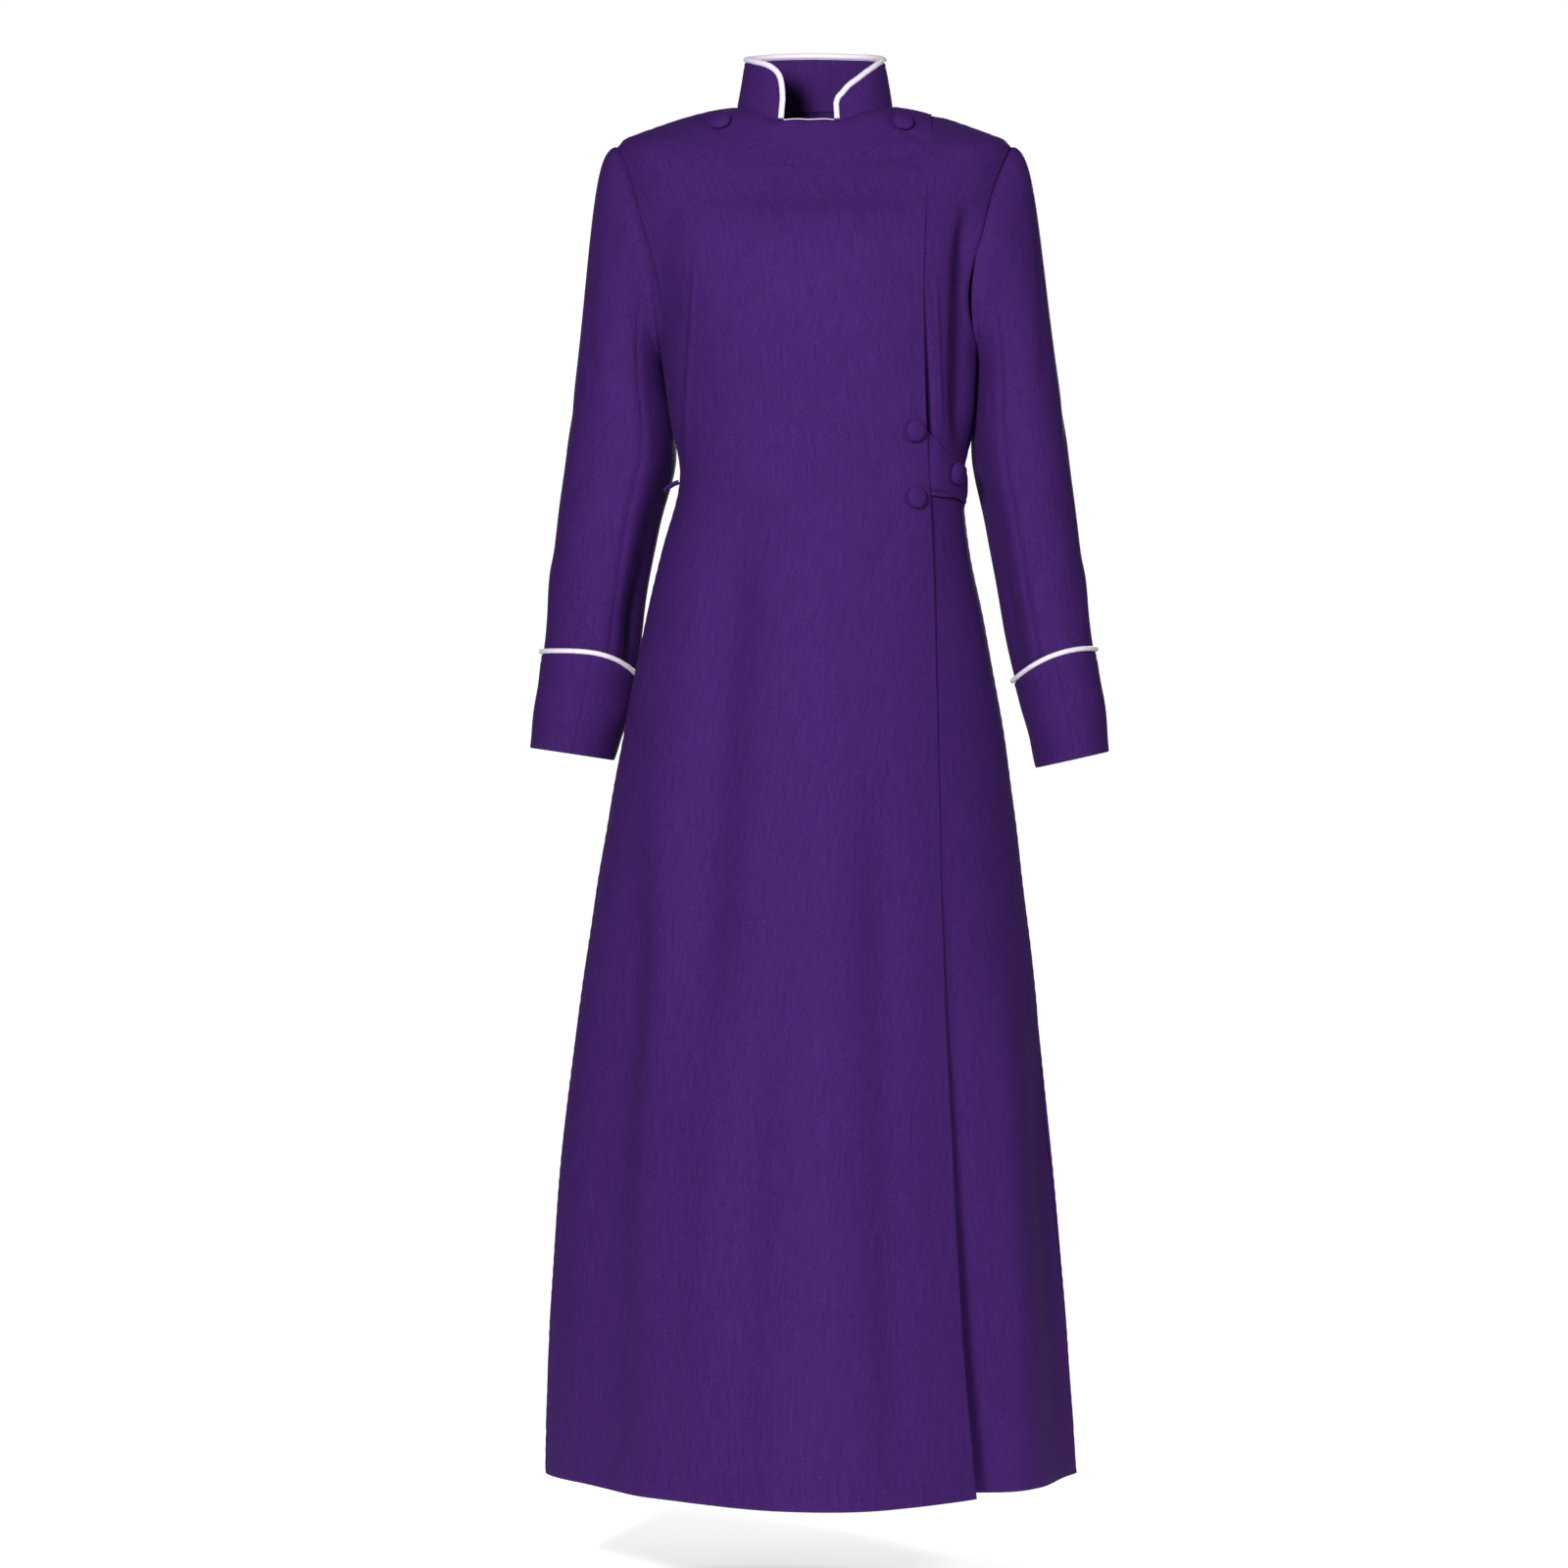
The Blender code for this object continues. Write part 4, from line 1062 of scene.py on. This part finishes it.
def build_belt_loop(material):
    """A short turned strip that stands out of the left side and droops."""
    share = np.linspace(0.0, 1.0, 14)[:, None]
    start, end = np.array(LOOP_START), np.array(LOOP_END)
    line = start + share * (end - start)
    line[:, 2] += 0.0012 * np.sin(math.pi * share[:, 0])
    angle = np.arange(20) * 2.0 * math.pi / 20
    wide = 0.5 * LOOP_WIDTH * np.sign(np.cos(angle)) * np.abs(np.cos(angle)) ** 0.6
    thick = 0.5 * LOOP_THICKNESS * np.sin(angle)
    along = unit(end - start)
    upward = unit(np.cross(along, np.array((0.0, 1.0, 0.0))))
    swell = (1.0 - 0.25 * bump(share - 1.0, 0.08))[..., None]
    ring = wide[None, :, None] * np.array((0.0, 1.0, 0.0)) + thick[None, :, None] * upward
    place = (line[:, None, :] + ring * swell)[:, ::-1]
    worn = np.full(place.shape[:2], 0.25)
    return shell("belt_loop_cloth", place, LOOP_CLOTH, worn, material, "belt_loop", closed=True)


def button_mesh():
    """A covered button: a low dome whose cover is drawn into fine pleats at its back edge."""
    shape = bmesh.new()
    rings = []
    for level, (radius, height) in enumerate(BUTTON_PROFILE):
        pleat = BUTTON_PLEAT_DEPTH * max(0.0, 1.0 - level / 3.0)
        ring = []
        for side in range(BUTTON_SIDES):
            angle = 2.0 * math.pi * side / BUTTON_SIDES
            reach = radius + pleat * math.cos(BUTTON_PLEATS * angle)
            ring.append(shape.verts.new((reach * math.cos(angle), reach * math.sin(angle), height)))
        rings.append(ring)
    crown = shape.verts.new((0.0, 0.0, BUTTON_PROFILE[-1][1] + 0.0001))
    for low, high in zip(rings, rings[1:]):
        for side in range(BUTTON_SIDES):
            beside = (side + 1) % BUTTON_SIDES
            shape.faces.new((low[side], low[beside], high[beside], high[side]))
    for side in range(BUTTON_SIDES):
        shape.faces.new((rings[-1][side], rings[-1][(side + 1) % BUTTON_SIDES], crown))
    shape.faces.new(list(reversed(rings[0])))
    mesh = bpy.data.meshes.new("covered_button")
    shape.to_mesh(mesh)
    shape.free()
    mesh.shade_smooth()
    return mesh


def build_buttons(material):
    """The buttons, each square to the cloth that it is sewn on."""
    places = {name: (place, overlap_lift) for name, place in OVERLAP_BUTTONS.items()}
    stack = BELT_GAP + BELT_CLOTH
    places["side_button"] = (SIDE_BUTTON, lambda turn, station: tab_base(turn, station) + stack)
    for name, ((ring, degrees, gap), base) in places.items():
        turn, station = np.array(math.radians(degrees)), np.array(ring)
        normal = Vector(body_normal(turn, station))
        mesh = button_mesh()
        mesh.materials.append(material)
        button = bpy.data.objects.new(f"{name}_cover", mesh)
        bpy.context.scene.collection.objects.link(button)
        button.location = body_point(turn, station, base(turn, station) + gap)
        button.rotation_mode = "QUATERNION"
        button.rotation_quaternion = normal.to_track_quat("Z", "Y")
        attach(button, "root")
        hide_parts(name)


class Nodes:
    """Adds nodes to a material and links them in one call."""

    def __init__(self, name):
        self.material = bpy.data.materials.new(name)
        self.material.use_nodes = True
        self.tree = self.material.node_tree
        self.shader = self.tree.nodes["Principled BSDF"]

    def add(self, kind, inputs=(), **settings):
        node = self.tree.nodes.new(kind)
        for key, value in settings.items():
            setattr(node, key, value)
        for socket, value in dict(inputs).items():
            self.feed(node.inputs[socket], value)
        return node

    def feed(self, socket, value):
        if isinstance(value, bpy.types.NodeSocket):
            self.tree.links.new(value, socket)
        else:
            socket.default_value = value

    def math(self, operation, *values, clamp=False):
        """One step of arithmetic on sockets and numbers."""
        node = self.add("ShaderNodeMath", dict(enumerate(values)), operation=operation, use_clamp=clamp)
        return node.outputs[0]

    def sum_of(self, terms):
        """Each (socket, weight) multiplied and added up."""
        total = 0.0
        for socket, weight in terms:
            total = self.math("MULTIPLY_ADD", socket, weight, total)
        return total

    def finish(self, colour, rough, relief, depth, strength):
        """The surface's colour, roughness and fine relief."""
        raised = self.add("ShaderNodeBump", {"Height": relief, "Distance": depth, "Strength": strength})
        shader = self.shader.inputs
        self.feed(shader["Base Color"], colour)
        self.feed(shader["Roughness"], rough)
        self.feed(shader["Normal"], raised.outputs[0])

    def mix(self, factor, low, high):
        node = self.add("ShaderNodeMix", data_type="RGBA")
        self.feed(node.inputs["Factor"], factor)
        self.feed(node.inputs[6], low)
        self.feed(node.inputs[7], high)
        return node.outputs[2]


def opaque(colour):
    return (*colour, 1.0)


def noise(nodes, vector, scale, detail=2.0):
    """Noise about its middle, from -0.5 to 0.5."""
    made = nodes.add(
        "ShaderNodeTexNoise", {"Vector": vector, "Scale": scale, "Detail": detail, "Roughness": 0.55}
    )
    return nodes.math("SUBTRACT", made.outputs["Fac"], 0.5)


def stretched(nodes, vector, scale):
    return nodes.add("ShaderNodeMapping", {"Vector": vector, "Scale": scale}).outputs[0]


def cloth_material(name, coordinates, wear):
    """Fine twill suiting: weave, slub in the yarn, soft mottling, sheen and pressed edges."""
    nodes = Nodes(name)
    texture = nodes.add("ShaderNodeTexCoord")
    weave = texture.outputs[coordinates]
    place = texture.outputs["Object"]
    twill = nodes.add(
        "ShaderNodeTexWave",
        {"Vector": weave, "Scale": 330.0, "Distortion": 1.2, "Detail": 1.0, "Detail Scale": 1.5},
        wave_type="BANDS",
        bands_direction="DIAGONAL",
    ).outputs["Fac"]
    warp = noise(nodes, stretched(nodes, weave, (2600.0, 90.0, 90.0)), 1.0)
    weft = noise(nodes, stretched(nodes, weave, (120.0, 2200.0, 120.0)), 1.0)
    slub = noise(nodes, stretched(nodes, weave, (380.0, 26.0, 26.0)), 1.0)
    mottle = noise(nodes, place, 9.0, 4.0)
    fleck = noise(nodes, place, 560.0, 2.0)
    shade = nodes.sum_of(((warp, 0.60), (weft, 0.45), (slub, 1.10), (mottle, 0.30), (fleck, 1.90)))
    shade = nodes.sum_of(((shade, 1.0), (twill, 0.10)))
    factor = nodes.math("ADD", shade, 0.45, clamp=True)
    colour = nodes.mix(factor, opaque(PURPLE_DARK), opaque(PURPLE))
    if wear:
        worn = nodes.add("ShaderNodeAttribute", attribute_name="wear").outputs["Fac"]
        patchy = nodes.math("MULTIPLY_ADD", fleck, 1.4, 0.55, clamp=True)
        worn = nodes.math("MULTIPLY", nodes.math("MULTIPLY", worn, patchy), 0.30)
        colour = nodes.mix(worn, colour, opaque(PURPLE_WORN))
    rough = nodes.sum_of(((fleck, 0.12), (slub, 0.10)))
    rough = nodes.math("ADD", rough, 0.78, clamp=True)
    relief = nodes.sum_of(((twill, 0.5), (warp, 0.7), (weft, 0.5), (slub, 0.8), (fleck, 0.5)))
    nodes.finish(colour, rough, relief, 0.00022, 0.8)
    shader = nodes.shader.inputs
    shader["Specular IOR Level"].default_value = 0.04
    shader["Sheen Weight"].default_value = 0.02
    shader["Sheen Roughness"].default_value = 0.35
    shader["Sheen Tint"].default_value = (0.50, 0.25, 0.95, 1.0)
    return nodes.material


def piping_material():
    """White bias-cut sateen: a fine slanting weave, soft shading and a little sheen."""
    nodes = Nodes("white_piping")
    place = nodes.add("ShaderNodeTexCoord").outputs["Object"]
    weave = nodes.add(
        "ShaderNodeTexWave",
        {"Vector": place, "Scale": 420.0, "Distortion": 2.0, "Detail": 2.0, "Detail Scale": 2.0},
        wave_type="BANDS",
        bands_direction="DIAGONAL",
    ).outputs["Fac"]
    soft = noise(nodes, place, 60.0, 3.0)
    fleck = noise(nodes, place, 900.0, 2.0)
    shade = nodes.sum_of(((weave, 0.25), (soft, 0.5), (fleck, 0.35)))
    factor = nodes.math("ADD", shade, 0.15, clamp=True)
    colour = nodes.mix(factor, opaque(WHITE), opaque(WHITE_SHADE))
    rough = nodes.sum_of(((fleck, 0.2), (soft, 0.1)))
    rough = nodes.math("ADD", rough, 0.55, clamp=True)
    relief = nodes.sum_of(((weave, 1.0), (fleck, 0.5)))
    nodes.finish(colour, rough, relief, 0.00015, 0.6)
    nodes.shader.inputs["Sheen Weight"].default_value = 0.15
    return nodes.material


def build_stage():
    """A round white floor, and a backdrop lit white behind the garment in a dimmer studio."""
    bpy.ops.mesh.primitive_circle_add(
        vertices=96, radius=FLOOR_RADIUS, fill_type="NGON", location=(0.0, 0.0, FLOOR_HEIGHT)
    )
    floor = bpy.context.object
    floor.name = "floor"
    nodes = Nodes("pale_floor")
    shader = nodes.shader.inputs
    shader["Base Color"].default_value = (0.92, 0.92, 0.93, 1.0)
    shader["Roughness"].default_value = 0.9
    shader["Specular IOR Level"].default_value = 0.1
    shader["Emission Color"].default_value = (1.0, 1.0, 1.0, 1.0)
    shader["Emission Strength"].default_value = 0.34
    floor.data.materials.append(nodes.material)
    world = bpy.data.worlds.new("white_studio")
    world.use_nodes = True
    tree = world.node_tree
    direction = tree.nodes.new("ShaderNodeTexCoord")
    axes = tree.nodes.new("ShaderNodeSeparateXYZ")
    lit = tree.nodes.new("ShaderNodeMapRange")
    lit.interpolation_type = "SMOOTHSTEP"
    lit.inputs["From Min"].default_value = BACKDROP_EDGE
    lit.inputs["From Max"].default_value = BACKDROP_FULL
    lit.inputs["To Min"].default_value = STUDIO_LIGHT
    lit.inputs["To Max"].default_value = BACKDROP_LIGHT
    background = tree.nodes["Background"].inputs
    background["Color"].default_value = (1.0, 1.0, 1.0, 1.0)
    tree.links.new(direction.outputs["Generated"], axes.inputs[0])
    tree.links.new(axes.outputs["Y"], lit.inputs["Value"])
    tree.links.new(lit.outputs["Result"], background["Strength"])
    bpy.context.scene.world = world


def add_softbox(name, place, target, size, power):
    light = bpy.data.objects.new(name, bpy.data.lights.new(name, "AREA"))
    light.data.shape = "DISK"
    light.data.size = size
    light.data.energy = power
    light.location = place
    light.visible_camera = False
    light.rotation_mode = "QUATERNION"
    light.rotation_quaternion = (Vector(target) - Vector(place)).to_track_quat("-Z", "Y")
    bpy.context.scene.collection.objects.link(light)


def build_lights():
    """Two softboxes before the figure, one to each side, and one behind it."""
    for name, place, size, power in SOFTBOXES:
        add_softbox(name, place, LIGHT_TARGET, size, power)


def build_camera():
    camera = bpy.data.objects.new("camera", bpy.data.cameras.new("camera"))
    camera.data.lens = CAMERA_LENS
    camera.data.sensor_width = CAMERA_SENSOR
    camera.location = CAMERA_PLACE
    camera.rotation_euler = (QUARTER, 0.0, 0.0)
    bpy.context.scene.collection.objects.link(camera)
    bpy.context.scene.camera = camera


def build_pieces():
    cloth = cloth_material("purple_suiting", "UV", wear=True)
    covers = cloth_material("button_covers", "Object", wear=False)
    piping = piping_material()
    pieces = build_body(cloth)
    pieces.update(build_sleeves(cloth))
    pieces.update(build_cuffs(cloth, piping))
    pieces.update(build_collar(cloth, piping))
    pieces.update(build_belt(cloth))
    build_buttons(covers)


build_pieces()
build_stage()
build_lights()
build_camera()
bpy.context.scene.view_settings.view_transform = "Standard"
